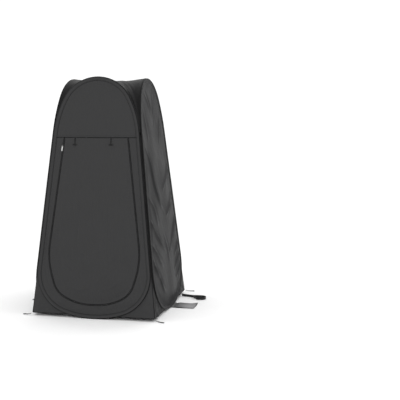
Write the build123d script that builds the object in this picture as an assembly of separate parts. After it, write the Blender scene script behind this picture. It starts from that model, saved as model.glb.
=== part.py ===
from build123d import *
import math
import os

# Pop-up changing tent, in millimetres. +Z is up, the front wall faces -Y and the floor is z = 0.
# The origin is on the floor, in the middle of the four walls.
# Every wall is first made flat, as the front wall: s runs along the wall, v runs up its slope and
# w runs out of it, with w = 0 in the plane of the corner hinge lines. It is then turned into place.

# ---------------------------------------------------------------- driving dimensions
HALF_BASE = 510.0           # half the distance between two corner hinge lines, at the floor
TAPER = 0.105               # how far each wall leans in, for each unit of height
HOOP_HEIGHT = 1900.0        # top of each hoop sleeve above the floor
SEAM_V = 1426.0             # the seam that the door hangs from, up the slope
HEM_HEIGHT = 25.0           # the hem of the corner gussets above the floor

SLEEVE_R = 6.5              # outside radius of the fabric sleeve around a hoop
SLEEVE_BORE_R = 3.0
WIRE_R = 1.6                # spring steel hoop wire
FERRULE_R = 2.6             # steel tube that joins the two ends of a wire
FERRULE_BORE_R = 1.65
FERRULE_LENGTH = 50.0
FERRULE_V = 800.0
WALL_W = 8.0                # the middle of the fabric, out from the plane of the hinge lines
FABRIC = 1.2                # thickness of a fabric panel
HOOP_INSET = 8.0            # from a hinge line to the middle of the sleeve beside it
TOP_RADIUS = 300.0          # the four arcs of a hoop, from its top to its lowest point
SHOULDER_RADIUS = 750.0
CORNER_RADIUS = 320.0
BOTTOM_RADIUS = 800.0

ZIP_POINTS = [(263.3, 1426.0), (385.0, 455.0), (308.0, 200.0), (135.0, 110.0)]
ZIP_RADII = [620.0, 190.0, 450.0]
ZIP_GAP = 0.7               # from the middle of the zip to each row of coil
COIL_WIDTH = 2.4
COIL_THICKNESS = 1.8
TAPE_WIDTH = 12.0
TAPE_THICKNESS = 0.7
PANEL_TO_ZIP = 3.5          # from the middle of the zip to the edge of the fabric on each side
DOOR_DROP = 3.0             # from the seam line to the top edge of the door
SEAM_ABOVE = 1.5            # from the seam line to the lower edge of the top panel
STOP_LENGTH = 6.0
STOP_DROP = 10.0            # from the seam line to the middle of the stops

BAND_START = 7.0            # the band that is sewn on just above the seam
BAND_WIDTH = 12.0
BAND_THICKNESS = 1.0

PIPING_R = 2.0
PIPING_LOW = 30.0
PIPING_HIGH = 1420.0
BINDING_GAP = 2.5           # from a hinge line to the binding that joins it to a sleeve
BINDING_WIDTH = 7.5
BINDING_W = 0.5
BINDING_THICKNESS = 1.0
GUSSET_GAP = 2.0            # from a hinge line to the edge of a gusset
GUSSET_TOP_V = 330.0
GUSSET_INNER_S = 120.0

ROOF_CENTRE_HEIGHT = 1875.0
ROOF_THICKNESS = 1.2
ROOF_STEPS = 12
ROOF_DRAW_IN = 0.002        # how much smaller the underside of the roof is than its top

TOGGLE_S = (-174.0, 124.0)  # the two toggles, from the middle of the door
TOGGLE_PIVOT_DROP = 4.0
TOGGLE_W = 12.3
TOGGLE_CORD_R = 1.5
TOGGLE_CORD_LENGTH = 49.0
TOGGLE_BAR_R = 3.0
TOGGLE_BAR_LENGTH = 38.0
ANCHOR_SIZE = 9.0
ANCHOR_GAP = 0.3            # from the patch to the cord in front of it
LOOP_WIDTH = 14.0
LOOP_LENGTH = 46.0
LOOP_CORD_R = 1.25
LOOP_W = 4.6
LOOP_TAB = 10.0

SLIDER_DROP = 64.0          # from the seam line down to the middle of the zip slider
SLIDER_LENGTH = 22.0
SLIDER_HALF_WIDTH = 5.5
SLIDER_WEB = 0.4            # half the thickness of the web between the two rows of coil
SLIDER_OUTER_WIDTH = 9.4
PLATE = 1.5
BRIDGE_WIDTH = 3.0
BRIDGE_X = -5.0             # the bridge that holds the pull, beside the coil
PULL_WIDTH = 9.0
PULL_LENGTH = 44.0
PULL_THICKNESS = 1.4
PULL_EYE = 7.5              # from the pull's pivot to its solid plate
PULL_PIN_R = 1.0
INNER_PULL_LENGTH = 34.0
PULL_ARM = 1.6
PULL_HOLE_R = 1.8
SLIDER_OUTER_GAP = 0.4      # from the coil to the slider's outer plate
SLIDER_INNER_GAP = 0.5      # from the fabric to the slider's inner plate
BRIDGE_LENGTH = 9.0
BRIDGE_HEIGHT = 4.0
BRIDGE_HOLE = 5.2
BRIDGE_WALL = 0.9
PIVOT_ABOVE_PLATE = 1.8

FLAP_LENGTH = 196.0
LEFT_FLAP_LENGTH = 206.0
FLAP_FRONT_Y = -50.0
FLAP_BACK_Y = 112.0
FLAP_THICKNESS = 2.0
FLAP_START_X = 526.0
FLOOR_GAP = 0.3

STRAP_Y = 365.0
STRAP_START_X = 519.0
STRAP_TURN = -17.0         # how far the strap is turned towards the front
STRAP_NECK = 112.0
STRAP_LOOP_R = 46.0
STRAP_LOOP_DROP = 12.0      # from the neck's line to the middle of the loop
STRAP_END_X = 762.0
STRAP_THICKNESS = 1.6
STRAP_WIDTH = 22.0

PEG_LOOP_LENGTH = {"front_right": 70.0, "front_left": 88.0, "back_right": 92.0, "back_left": 92.0}
PEG_LOOP_TURN = {"front_right": 0.0, "front_left": 160.0, "back_right": 40.0, "back_left": 150.0}
PEG_LOOP_R = 11.0
PEG_LOOP_BAND = 3.5
PEG_LOOP_THICKNESS = 3.5
PEG_LOOP_NECK_R = 3.0
PEG_LOOP_TILT = 10.0
PEG_LOOP_CORNER = 517.0

# ---------------------------------------------------------------- worked out from them
LEAN = math.atan(TAPER)                     # the walls' lean from upright
SIDE = math.atan(TAPER * math.cos(LEAN))    # the sides' lean within a wall
COS_SIDE = math.cos(SIDE)
SIN_SIDE = math.sin(SIDE)
SIDE_TURN = math.degrees(SIDE)
FRONT, RIGHT, BACK, LEFT = range(4)         # quarter turns from the front wall
FABRIC_IN = WALL_W - FABRIC / 2
FABRIC_OUT = WALL_W + FABRIC / 2
TAPE_OUT = FABRIC_OUT + TAPE_THICKNESS
COIL_OUT = TAPE_OUT + COIL_THICKNESS
TOP_PANEL_EDGE = SEAM_V + SEAM_ABOVE
TOGGLE_PIVOT_V = SEAM_V - TOGGLE_PIVOT_DROP
OUTER_PLATE_LOW = COIL_OUT + SLIDER_OUTER_GAP
OUTER_PLATE_HIGH = OUTER_PLATE_LOW + PLATE
INNER_PLATE_HIGH = FABRIC_IN - SLIDER_INNER_GAP
INNER_PLATE_LOW = INNER_PLATE_HIGH - PLATE


def up_slope(height, w):
    """How far up the slope a height above the floor is, at a distance w out of the wall."""
    return (height - w * math.sin(LEAN)) / math.cos(LEAN)


def hip(v):
    """Half the width between the hinge lines at v."""
    return HALF_BASE - v * math.tan(SIDE)


HEM_V = up_slope(HEM_HEIGHT, WALL_W)
HOOP_TOP_V = up_slope(HOOP_HEIGHT, WALL_W) - SLEEVE_R
HOOP_LOW_V = up_slope(SLEEVE_R, WALL_W)


def place(shape, wall):
    """Move a flat wall's shape onto the front wall's slope, then turn it to its own side."""
    slope = Plane(
        origin=(0, -HALF_BASE, 0),
        x_dir=(1, 0, 0),
        z_dir=(0, -math.cos(LEAN), math.sin(LEAN)),
    )
    return Rot(0, 0, 90 * wall) * slope.location * shape


def slab(face, w_low, w_high):
    """A flat outline made solid between two distances out of the wall."""
    return Pos(0, 0, w_low) * extrude(face, amount=w_high - w_low)


def save(shape, name):
    """Write one sub-part."""
    shape.label = name
    export_step(shape, f"parts/{name}.step")


def arc(centre, radius, start, end):
    """An arc of a circle between two directions, in radians."""
    directions = (start, (start + end) / 2, end)
    points = [(centre[0] + radius * math.cos(a), centre[1] + radius * math.sin(a)) for a in directions]
    return ThreePointArc(*points)


# ---------------------------------------------------------------- the outline of a hoop
def hoop_arcs(grow):
    """Centre, radius, start and end of the four arcs on the right of a hoop, grown by an offset."""
    side = HALF_BASE * COS_SIDE - HOOP_INSET
    top = (0.0, HOOP_TOP_V - TOP_RADIUS)
    ratio = (top[1] * SIN_SIDE + SHOULDER_RADIUS - side) / (SHOULDER_RADIUS - TOP_RADIUS)
    top_end = SIDE + math.acos(ratio)
    reach = SHOULDER_RADIUS - TOP_RADIUS
    shoulder = (top[0] - reach * math.cos(top_end), top[1] - reach * math.sin(top_end))
    low = (0.0, HOOP_LOW_V + BOTTOM_RADIUS)
    ratio = (side - CORNER_RADIUS - low[1] * SIN_SIDE) / (BOTTOM_RADIUS - CORNER_RADIUS)
    low_start = SIDE - math.acos(ratio)
    reach = BOTTOM_RADIUS - CORNER_RADIUS
    corner = (low[0] + reach * math.cos(low_start), low[1] + reach * math.sin(low_start))
    return [
        (top, TOP_RADIUS + grow, math.pi / 2, top_end),
        (shoulder, SHOULDER_RADIUS + grow, top_end, SIDE),
        (corner, CORNER_RADIUS + grow, SIDE, low_start),
        (low, BOTTOM_RADIUS + grow, low_start, -math.pi / 2),
    ]


def hoop_edges(grow):
    """The closed outline of a hoop, as tangent arcs and two straight sides."""
    arcs = [arc(*values) for values in hoop_arcs(grow)]
    right = [arcs[0], arcs[1], Line(arcs[1] @ 1, arcs[2] @ 0), arcs[2], arcs[3]]
    left = [mirror(edge, about=Plane.YZ) for edge in right]
    return right + left


def hoop_face(grow):
    """The flat face inside a hoop's outline."""
    return make_face(Curve() + hoop_edges(grow))


def hoop_sweep(section):
    """A section carried all the way around a hoop."""
    path = Wire(Curve() + hoop_edges(0.0))
    start = Plane(origin=(0, HOOP_TOP_V, 0), z_dir=(1, 0, 0))
    return Pos(0, 0, WALL_W) * sweep(start * section, path=path)


def rectangle(s_low, s_high, v_low, v_high):
    """A flat rectangle between two corners."""
    centre = ((s_low + s_high) / 2, (v_low + v_high) / 2)
    return Pos(*centre) * Rectangle(s_high - s_low, v_high - v_low)


# ---------------------------------------------------------------- the outline of the door's zip
def unit_normal(start, end):
    """The normal on the right of a run from one point to the next."""
    run = math.hypot(end[0] - start[0], end[1] - start[1])
    return ((end[1] - start[1]) / run, (start[0] - end[0]) / run)


def zip_line(grow, top_v=TOP_PANEL_EDGE):
    """The zip's open line from its top right end to its top left end, grown by an offset."""
    first, second = ZIP_POINTS[0], ZIP_POINTS[1]
    lean = (second[0] - first[0]) / (first[1] - second[1])
    top = (first[0] + (first[1] - top_v) * lean, top_v)
    half = [top] + ZIP_POINTS[1:]
    route = half + [(-s, v) for s, v in reversed(half)]
    normals = [unit_normal(b, a) for a, b in zip(route, route[1:])]
    moved = [(top[0] + grow * math.hypot(1, lean), top_v)]
    for point, before, after in zip(route[1:-1], normals, normals[1:]):
        scale = grow / (1 + before[0] * after[0] + before[1] * after[1])
        moved.append((point[0] + scale * (before[0] + after[0]), point[1] + scale * (before[1] + after[1])))
    moved.append((-moved[0][0], top_v))
    radii = [radius + grow for radius in ZIP_RADII + ZIP_RADII[::-1]]
    return FilletPolyline(*moved, radius=radii)


def zip_face(grow, top_v=TOP_PANEL_EDGE):
    """The flat face inside the zip's line, closed along its top."""
    line = zip_line(grow, top_v)
    return make_face(Curve() + [line, Line(line @ 1, line @ 0)])


def zip_band(inner, outer, top_v):
    """The flat strip between two offsets of the zip's line."""
    return zip_face(outer, top_v) - zip_face(inner, top_v)


# ---------------------------------------------------------------- the walls
def make_sleeve(wall):
    """The fabric tube that is sewn around a hoop wire."""
    return place(hoop_sweep(Circle(SLEEVE_R) - Circle(SLEEVE_BORE_R)), wall)


def ferrule_place():
    """The middle of the ferrule, on the left straight side of a hoop."""
    s = -(hip(FERRULE_V) - HOOP_INSET / COS_SIDE)
    return Pos(s, FERRULE_V, WALL_W) * Rot(0, 0, -SIDE_TURN) * Rot(-90, 0, 0)


def make_wire(wall):
    """The spring steel hoop, cut where its two ends meet inside the ferrule."""
    wire = hoop_sweep(Circle(WIRE_R)) - ferrule_place() * Box(6, 6, 1)
    return place(wire, wall)


def make_ferrule(wall):
    """The short steel tube over the two ends of a hoop wire."""
    tube = Cylinder(FERRULE_R, FERRULE_LENGTH) - Cylinder(FERRULE_BORE_R, FERRULE_LENGTH)
    return place(ferrule_place() * tube, wall)


def gusset_face(side):
    """The flat corner between a hoop's lower arc, the hinge line and the hem. side is 1 or -1."""
    corner = Polyline(
        (GUSSET_INNER_S * side, HEM_V),
        ((hip(HEM_V) - GUSSET_GAP) * side, HEM_V),
        ((hip(GUSSET_TOP_V) - GUSSET_GAP) * side, GUSSET_TOP_V),
        (GUSSET_INNER_S * side, GUSSET_TOP_V),
        close=True,
    )
    return make_face(corner) - hoop_face(SLEEVE_R)


def make_gusset(wall, side):
    """A corner gusset of fabric."""
    return place(slab(gusset_face(side), FABRIC_IN, FABRIC_OUT), wall)


def make_bindings(wall, sides):
    """The strips that join a wall's sleeve to its corner piping."""
    strips = []
    near = BINDING_GAP / COS_SIDE
    far = (BINDING_GAP + BINDING_WIDTH) / COS_SIDE
    for side in sides:
        outline = Polyline(
            ((hip(PIPING_LOW) - near) * side, PIPING_LOW),
            ((hip(PIPING_HIGH) - near) * side, PIPING_HIGH),
            ((hip(PIPING_HIGH) - far) * side, PIPING_HIGH),
            ((hip(PIPING_LOW) - far) * side, PIPING_LOW),
            close=True,
        )
        strips.append(place(slab(make_face(outline), BINDING_W, BINDING_W + BINDING_THICKNESS), wall))
    return Compound(children=strips)


def make_piping(x_side, y_side):
    """The round piping on a corner's hinge line, between two heights."""
    low = Vector(x_side, y_side, 0) * (HALF_BASE - TAPER * PIPING_LOW) + Vector(0, 0, PIPING_LOW)
    high = Vector(x_side, y_side, 0) * (HALF_BASE - TAPER * PIPING_HIGH) + Vector(0, 0, PIPING_HIGH)
    axis = Plane(origin=low, z_dir=high - low)
    return extrude(axis * Circle(PIPING_R), amount=(high - low).length)


def make_plain_panel(wall):
    """The single panel inside the hoop of a wall with no door."""
    return place(slab(hoop_face(-SLEEVE_R), FABRIC_IN, FABRIC_OUT), wall)


def make_top_panel():
    """The front wall's panel above the seam."""
    above = rectangle(-HALF_BASE, HALF_BASE, TOP_PANEL_EDGE, HOOP_HEIGHT + HALF_BASE)
    return place(slab(hoop_face(-SLEEVE_R) & above, FABRIC_IN, FABRIC_OUT), FRONT)


def make_surround():
    """The front wall's panel around the doorway, below the seam."""
    below = rectangle(-HALF_BASE, HALF_BASE, 0, TOP_PANEL_EDGE)
    outline = (hoop_face(-SLEEVE_R) & below) - zip_face(PANEL_TO_ZIP)
    return place(slab(outline, FABRIC_IN, FABRIC_OUT), FRONT)


def make_seam_band():
    """The band sewn across the front just above the seam."""
    strip = rectangle(-HALF_BASE, HALF_BASE, SEAM_V + BAND_START, SEAM_V + BAND_START + BAND_WIDTH)
    outline = hoop_face(-SLEEVE_R) & strip
    return place(slab(outline, FABRIC_OUT, FABRIC_OUT + BAND_THICKNESS), FRONT)


# ---------------------------------------------------------------- the roof
def arch_point(wall, across):
    """A point of the roof's edge on one wall. across runs from -1 to 1, between two corners."""
    (top, top_radius, quarter, top_end), (shoulder, shoulder_radius, _, side) = hoop_arcs(HOOP_INSET)[:2]
    top_arc = top_radius * (quarter - top_end)
    shoulder_arc = shoulder_radius * (top_end - side)
    travel = abs(across) * (top_arc + shoulder_arc)
    if travel < top_arc:
        centre, radius, angle = top, top_radius, quarter - travel / top_radius
    else:
        centre, radius, angle = shoulder, shoulder_radius, top_end - (travel - top_arc) / shoulder_radius
    s = math.copysign(centre[0] + radius * math.cos(angle), across)
    v = centre[1] + radius * math.sin(angle)
    point = Vector(s, v * math.sin(LEAN) - HALF_BASE, v * math.cos(LEAN))
    return point.rotate(Axis.Z, 90 * wall)


def roof_point(a, b):
    """A point of the roof, stretched between the four arches and lowest at its middle and corners."""
    front_back = arch_point(FRONT, a) if b < 0 else arch_point(BACK, -a)
    left_right = arch_point(LEFT, -b) if a < 0 else arch_point(RIGHT, b)
    corner = arch_point(FRONT, 1)
    x = a * abs(left_right.X) + b * b * (front_back.X - a * corner.X)
    y = b * abs(front_back.Y) + a * a * (left_right.Y - b * corner.X)
    z = ROOF_CENTRE_HEIGHT
    z += (front_back.Z - ROOF_CENTRE_HEIGHT) * b * b + (left_right.Z - ROOF_CENTRE_HEIGHT) * a * a
    z -= (corner.Z - ROOF_CENTRE_HEIGHT) * a * a * b * b
    return Vector(x, y, z)


def make_roof():
    """The roof as a thin closed skin of triangles, with its underside a fabric's thickness below."""
    steps = range(ROOF_STEPS + 1)
    place_of = [2 * i / ROOF_STEPS - 1 for i in steps]
    upper = [[roof_point(a, b) for b in place_of] for a in place_of]
    inward = Vector(0, 0, -ROOF_THICKNESS)
    lower = [[point + inward - Vector(point.X, point.Y, 0) * ROOF_DRAW_IN for point in row] for row in upper]
    faces = []
    for i in range(ROOF_STEPS):
        for j in range(ROOF_STEPS):
            for grid in (upper, lower):
                square = [grid[i][j], grid[i + 1][j], grid[i + 1][j + 1], grid[i][j + 1]]
                faces.append(triangle(square[0], square[1], square[2]))
                faces.append(triangle(square[0], square[2], square[3]))
    last = ROOF_STEPS
    rim = [(i, 0) for i in steps] + [(last, j) for j in steps][1:]
    rim += [(i, last) for i in reversed(steps)][1:] + [(0, j) for j in reversed(steps)][1:]
    for (i, j), (m, n) in zip(rim, rim[1:]):
        faces.append(triangle(upper[i][j], upper[m][n], lower[m][n]))
        faces.append(triangle(upper[i][j], lower[m][n], lower[i][j]))
    return Solid(Shell(faces))


def triangle(*corners):
    """A flat face on three points."""
    return Face(Wire.make_polygon(corners, close=True))


# ---------------------------------------------------------------- the door and its zip
def make_door_panel():
    """The door's panel, which hangs from the seam."""
    outline = zip_face(-PANEL_TO_ZIP, SEAM_V - DOOR_DROP)
    return place(slab(outline, FABRIC_IN, FABRIC_OUT), FRONT)


def make_door_tape():
    """The zip tape on the door's edge."""
    outline = zip_band(-ZIP_GAP - TAPE_WIDTH, -ZIP_GAP, SEAM_V - DOOR_DROP)
    return place(slab(outline, FABRIC_OUT, TAPE_OUT), FRONT)


def make_door_coil():
    """The row of coil on the door's tape."""
    outline = zip_band(-ZIP_GAP - COIL_WIDTH, -ZIP_GAP, SEAM_V - DOOR_DROP)
    return place(slab(outline, TAPE_OUT, COIL_OUT), FRONT)


def make_surround_tape():
    """The zip tape on the doorway's edge."""
    outline = zip_band(ZIP_GAP, ZIP_GAP + TAPE_WIDTH, TOP_PANEL_EDGE)
    return place(slab(outline, FABRIC_OUT, TAPE_OUT), FRONT)


def make_surround_coil():
    """The row of coil on the doorway's tape."""
    outline = zip_band(ZIP_GAP, ZIP_GAP + COIL_WIDTH, SEAM_V - STOP_DROP - STOP_LENGTH)
    return place(slab(outline, TAPE_OUT, COIL_OUT), FRONT)


def zip_place(drop, side):
    """A place on the straight part of the zip, a drop below the seam. side is 1 or -1."""
    (s, v), (far_s, far_v) = ZIP_POINTS[0], ZIP_POINTS[1]
    lean = math.atan((far_s - s) / (v - far_v))
    return Pos((s + drop * math.tan(lean)) * side, v - drop, 0) * Rot(0, 0, math.degrees(lean) * side)


def make_zip_stop(side):
    """The stop at one end of the zip, clamped on the doorway's tape."""
    middle = (ZIP_GAP + (ZIP_GAP + COIL_WIDTH)) / 2 * side
    block = rectangle(middle - COIL_WIDTH / 2, middle + COIL_WIDTH / 2, -STOP_LENGTH / 2, STOP_LENGTH / 2)
    return place(zip_place(STOP_DROP, side) * slab(block, TAPE_OUT, COIL_OUT), FRONT)


def make_bridge(x_middle, plate_w, outward):
    """The small arch on a slider's plate that a pull hangs from."""
    half = BRIDGE_WIDTH / 2
    top = plate_w + BRIDGE_HEIGHT * outward
    hole_top = plate_w + (BRIDGE_HEIGHT - BRIDGE_WALL) * outward
    block = rectangle(x_middle - half, x_middle + half, -BRIDGE_LENGTH / 2, BRIDGE_LENGTH / 2)
    hole = rectangle(x_middle - half, x_middle + half, -BRIDGE_HOLE / 2, BRIDGE_HOLE / 2)
    solid = slab(block, min(plate_w, top), max(plate_w, top))
    return solid - slab(hole, min(plate_w, hole_top), max(plate_w, hole_top))


def make_slider():
    """The zip slider: an outer plate over the doorway's coil, a web between the rows, an inner plate."""
    half = SLIDER_LENGTH / 2
    outer = rectangle(SLIDER_WEB - SLIDER_OUTER_WIDTH, SLIDER_WEB, -half, half)
    inner = rectangle(-SLIDER_HALF_WIDTH, SLIDER_HALF_WIDTH, -half, half)
    web = rectangle(-SLIDER_WEB, SLIDER_WEB, -half, half)
    body = slab(fillet(outer.vertices(), 0.35), OUTER_PLATE_LOW, OUTER_PLATE_HIGH)
    body += slab(fillet(inner.vertices(), 2.0), INNER_PLATE_LOW, INNER_PLATE_HIGH)
    body += slab(web, INNER_PLATE_LOW, OUTER_PLATE_HIGH)
    body += make_bridge(BRIDGE_X, OUTER_PLATE_HIGH, 1)
    body += make_bridge(0.0, INNER_PLATE_LOW, -1)
    return place(zip_place(SLIDER_DROP, -1) * body, FRONT)


def make_pull(x_middle, pivot_w, length):
    """A zip pull: a cross pin under the bridge, two arms and a flat plate with a round end."""
    half = PULL_WIDTH / 2
    plate = rectangle(x_middle - half, x_middle + half, -length + half, 0)
    plate += Pos(x_middle, -length + half) * Circle(half)
    plate -= rectangle(x_middle - half + PULL_ARM, x_middle + half - PULL_ARM, -PULL_EYE, 0)
    plate -= Pos(x_middle, -length + half) * Circle(PULL_HOLE_R)
    solid = slab(plate, pivot_w - PULL_THICKNESS / 2, pivot_w + PULL_THICKNESS / 2)
    pin = Pos(x_middle, 0, pivot_w) * Rot(0, 90, 0) * Cylinder(PULL_PIN_R, PULL_WIDTH)
    return place(zip_place(SLIDER_DROP, -1) * (solid + pin), FRONT)


# ---------------------------------------------------------------- toggles and their loops
def make_toggle_anchor(s):
    """The patch on the door that a toggle's cord is sewn to."""
    half = ANCHOR_SIZE / 2
    patch = rectangle(s - half, s + half, TOGGLE_PIVOT_V - ANCHOR_SIZE, TOGGLE_PIVOT_V + 1)
    return place(slab(patch, FABRIC_OUT, TOGGLE_W - TOGGLE_CORD_R - ANCHOR_GAP), FRONT)


def make_toggle_cord(s):
    """The short cord of a toggle, hanging from its pivot."""
    middle = Pos(s, TOGGLE_PIVOT_V - TOGGLE_CORD_LENGTH / 2, TOGGLE_W)
    return place(middle * Rot(90, 0, 0) * Cylinder(TOGGLE_CORD_R, TOGGLE_CORD_LENGTH), FRONT)


def make_toggle_bar(s):
    """The cross bar at the end of a toggle's cord, with rounded ends."""
    bar = Pos(s, TOGGLE_PIVOT_V - TOGGLE_CORD_LENGTH - TOGGLE_BAR_R, TOGGLE_W)
    bar = bar * Rot(0, 90, 0) * Cylinder(TOGGLE_BAR_R, TOGGLE_BAR_LENGTH)
    ends = bar.edges().filter_by(GeomType.CIRCLE)
    return place(fillet(ends, 1.5), FRONT)


def make_tie_loop(s):
    """The loop of elastic behind the seam that a toggle passes through when the door is rolled up."""
    middle = TOP_PANEL_EDGE + LOOP_TAB - LOOP_LENGTH / 2
    path = (Pos(0, middle) * SlotOverall(LOOP_LENGTH, LOOP_WIDTH, rotation=90)).wire()
    start = Plane(origin=path @ 0, z_dir=path % 0)
    ring = sweep(start * Circle(LOOP_CORD_R), path=path)
    tab = rectangle(-LOOP_WIDTH / 2, LOOP_WIDTH / 2, TOP_PANEL_EDGE, TOP_PANEL_EDGE + LOOP_TAB + LOOP_CORD_R)
    body = Pos(0, 0, LOOP_W) * ring + slab(tab, LOOP_W, FABRIC_IN)
    return place(Pos(s, 0, 0) * body, FRONT)


# ---------------------------------------------------------------- what lies on the floor
def make_flap(side, length):
    """A ground flap of coated fabric, flat on the floor beside a wall. side is 1 or -1."""
    size = Box(length, FLAP_BACK_Y - FLAP_FRONT_Y, FLAP_THICKNESS)
    middle = (FLAP_START_X + length / 2) * side
    return Pos(middle, (FLAP_BACK_Y + FLAP_FRONT_Y) / 2, FLOOR_GAP + FLAP_THICKNESS / 2) * size


def make_strap():
    """The folding strap: webbing on its edge, doubled at its neck and open in a loop at its end."""
    neck_start = Pos(STRAP_START_X + STRAP_THICKNESS, STRAP_Y)
    neck_end = Pos(STRAP_START_X + STRAP_NECK, STRAP_Y)
    middle = Pos(STRAP_END_X - STRAP_LOOP_R, STRAP_Y - STRAP_LOOP_DROP)
    neck = hull_of(neck_start * Circle(STRAP_THICKNESS), neck_end * Circle(STRAP_THICKNESS))
    loop = hull_of(neck_end * Circle(STRAP_THICKNESS), middle * Circle(STRAP_LOOP_R))
    hole = hull_of(neck_end * Circle(STRAP_THICKNESS / 4), middle * Circle(STRAP_LOOP_R - STRAP_THICKNESS))
    start = Pos(STRAP_START_X, STRAP_Y)
    straight = slab(neck + loop - hole, FLOOR_GAP, FLOOR_GAP + STRAP_WIDTH)
    return start * Rot(0, 0, STRAP_TURN) * start.inverse() * straight


def hull_of(*shapes):
    """The tight outline around several flat shapes."""
    return make_hull([edge for shape in shapes for edge in shape.edges()])


def make_peg_loop(corner):
    """A flat elastic loop for a ground peg, sloping from a corner's hem down to the floor."""
    length = PEG_LOOP_LENGTH[corner]
    eye = Pos(length - PEG_LOOP_R, 0)
    outer = hull_of(Pos(PEG_LOOP_NECK_R, 0) * Circle(PEG_LOOP_NECK_R), eye * Circle(PEG_LOOP_R))
    hole = hull_of(Pos(length / 2, 0) * Circle(PEG_LOOP_NECK_R / 3), eye * Circle(PEG_LOOP_R - PEG_LOOP_BAND))
    flat = slab(outer - hole, 0, PEG_LOOP_THICKNESS)
    sloped = Rot(0, PEG_LOOP_TILT, 0) * (Pos(-length, 0, 0) * flat)
    reach = length * math.cos(math.radians(PEG_LOOP_TILT))
    x_side = 1 if corner.endswith("right") else -1
    y_side = -1 if corner.startswith("front") else 1
    start = Pos(PEG_LOOP_CORNER * x_side, PEG_LOOP_CORNER * y_side, FLOOR_GAP)
    return start * Rot(0, 0, PEG_LOOP_TURN[corner]) * Pos(reach, 0, 0) * sloped


# ---------------------------------------------------------------- every sub-part
def make_walls():
    """Save what all four walls share."""
    walls = (
        (FRONT, "front", ("left", "right")),
        (RIGHT, "right", ("front", "back")),
        (BACK, "back", ("right", "left")),
        (LEFT, "left", ("back", "front")),
    )
    for wall, name, corners in walls:
        save(make_sleeve(wall), f"{name}_hoop_sleeve")
        save(make_wire(wall), f"{name}_hoop_wire")
        save(make_ferrule(wall), f"{name}_hoop_ferrule")
        for side, corner in zip((-1, 1), corners):
            save(make_gusset(wall, side), f"{name}_wall_gusset_{corner}")
        if wall != FRONT:
            save(make_plain_panel(wall), f"{name}_panel")
    save(make_bindings(FRONT, (-1, 1)), "front_bindings")
    save(make_bindings(RIGHT, (-1, 1)), "right_bindings")
    save(make_bindings(BACK, (-1,)), "back_binding")
    save(make_bindings(LEFT, (1,)), "left_binding")
    save(make_piping(1, -1), "front_right_piping")
    save(make_piping(-1, -1), "front_left_piping")
    save(make_piping(1, 1), "back_right_piping")
    save(make_roof(), "roof_panel")


def make_front():
    """Save the front wall's own panels, the door, its zip and its toggles."""
    save(make_top_panel(), "front_top_panel")
    save(make_surround(), "front_door_surround")
    save(make_seam_band(), "front_seam_band")
    save(make_surround_tape(), "surround_zip_tape")
    save(make_surround_coil(), "surround_zip_coil")
    save(make_zip_stop(-1), "zip_top_stop")
    save(make_zip_stop(1), "zip_end_stop")
    save(make_door_panel(), "door_panel")
    save(make_door_tape(), "door_zip_tape")
    save(make_door_coil(), "door_zip_coil")
    save(make_slider(), "zip_slider")
    save(make_pull(BRIDGE_X, OUTER_PLATE_HIGH + PIVOT_ABOVE_PLATE, PULL_LENGTH), "zip_pull_outside")
    save(make_pull(0.0, INNER_PLATE_LOW - PIVOT_ABOVE_PLATE, INNER_PULL_LENGTH), "zip_pull_inside")
    for s, name in zip(TOGGLE_S, ("left", "right")):
        save(make_toggle_anchor(s), f"toggle_anchor_{name}")
        save(make_toggle_cord(s), f"toggle_cord_{name}")
        save(make_toggle_bar(s), f"toggle_bar_{name}")
        save(make_tie_loop(s), f"tie_loop_{name}")


def make_floor_parts():
    """Save the flaps, the strap and the peg loops."""
    save(make_flap(1, FLAP_LENGTH), "right_ground_flap")
    save(make_flap(-1, LEFT_FLAP_LENGTH), "left_ground_flap")
    save(make_strap(), "folding_strap")
    for corner in PEG_LOOP_LENGTH:
        save(make_peg_loop(corner), f"{corner}_peg_loop")


os.makedirs("parts", exist_ok=True)
make_walls()
make_front()
make_floor_parts()
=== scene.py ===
import math

import bpy
import numpy as np
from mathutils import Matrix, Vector


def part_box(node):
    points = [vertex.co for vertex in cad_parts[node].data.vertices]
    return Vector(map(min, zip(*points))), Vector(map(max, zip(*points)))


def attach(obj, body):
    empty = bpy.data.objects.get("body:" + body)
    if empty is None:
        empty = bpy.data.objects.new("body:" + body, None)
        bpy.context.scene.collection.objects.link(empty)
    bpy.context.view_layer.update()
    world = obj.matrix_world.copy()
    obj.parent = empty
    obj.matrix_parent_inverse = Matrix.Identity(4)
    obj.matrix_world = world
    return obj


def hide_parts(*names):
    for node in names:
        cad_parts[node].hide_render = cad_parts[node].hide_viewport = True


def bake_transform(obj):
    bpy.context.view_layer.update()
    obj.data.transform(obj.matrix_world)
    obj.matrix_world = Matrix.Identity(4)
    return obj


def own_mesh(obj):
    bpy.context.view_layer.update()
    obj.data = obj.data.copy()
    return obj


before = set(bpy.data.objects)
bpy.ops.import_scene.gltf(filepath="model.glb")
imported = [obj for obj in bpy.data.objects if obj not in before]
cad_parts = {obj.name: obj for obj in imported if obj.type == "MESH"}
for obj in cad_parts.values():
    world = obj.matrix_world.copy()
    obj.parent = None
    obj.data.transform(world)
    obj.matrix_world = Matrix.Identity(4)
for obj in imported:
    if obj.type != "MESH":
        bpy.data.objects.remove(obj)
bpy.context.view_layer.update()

# Pop-up changing tent. Wall coordinates, in metres: s runs along a wall, v up its slope and w out of it,
# with w = 0 in the plane of the corner hinge lines. Walls are numbered in quarter turns from the front.
FRONT, RIGHT, BACK, LEFT = range(4)
WALL_NAMES = ("front", "right", "back", "left")

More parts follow.
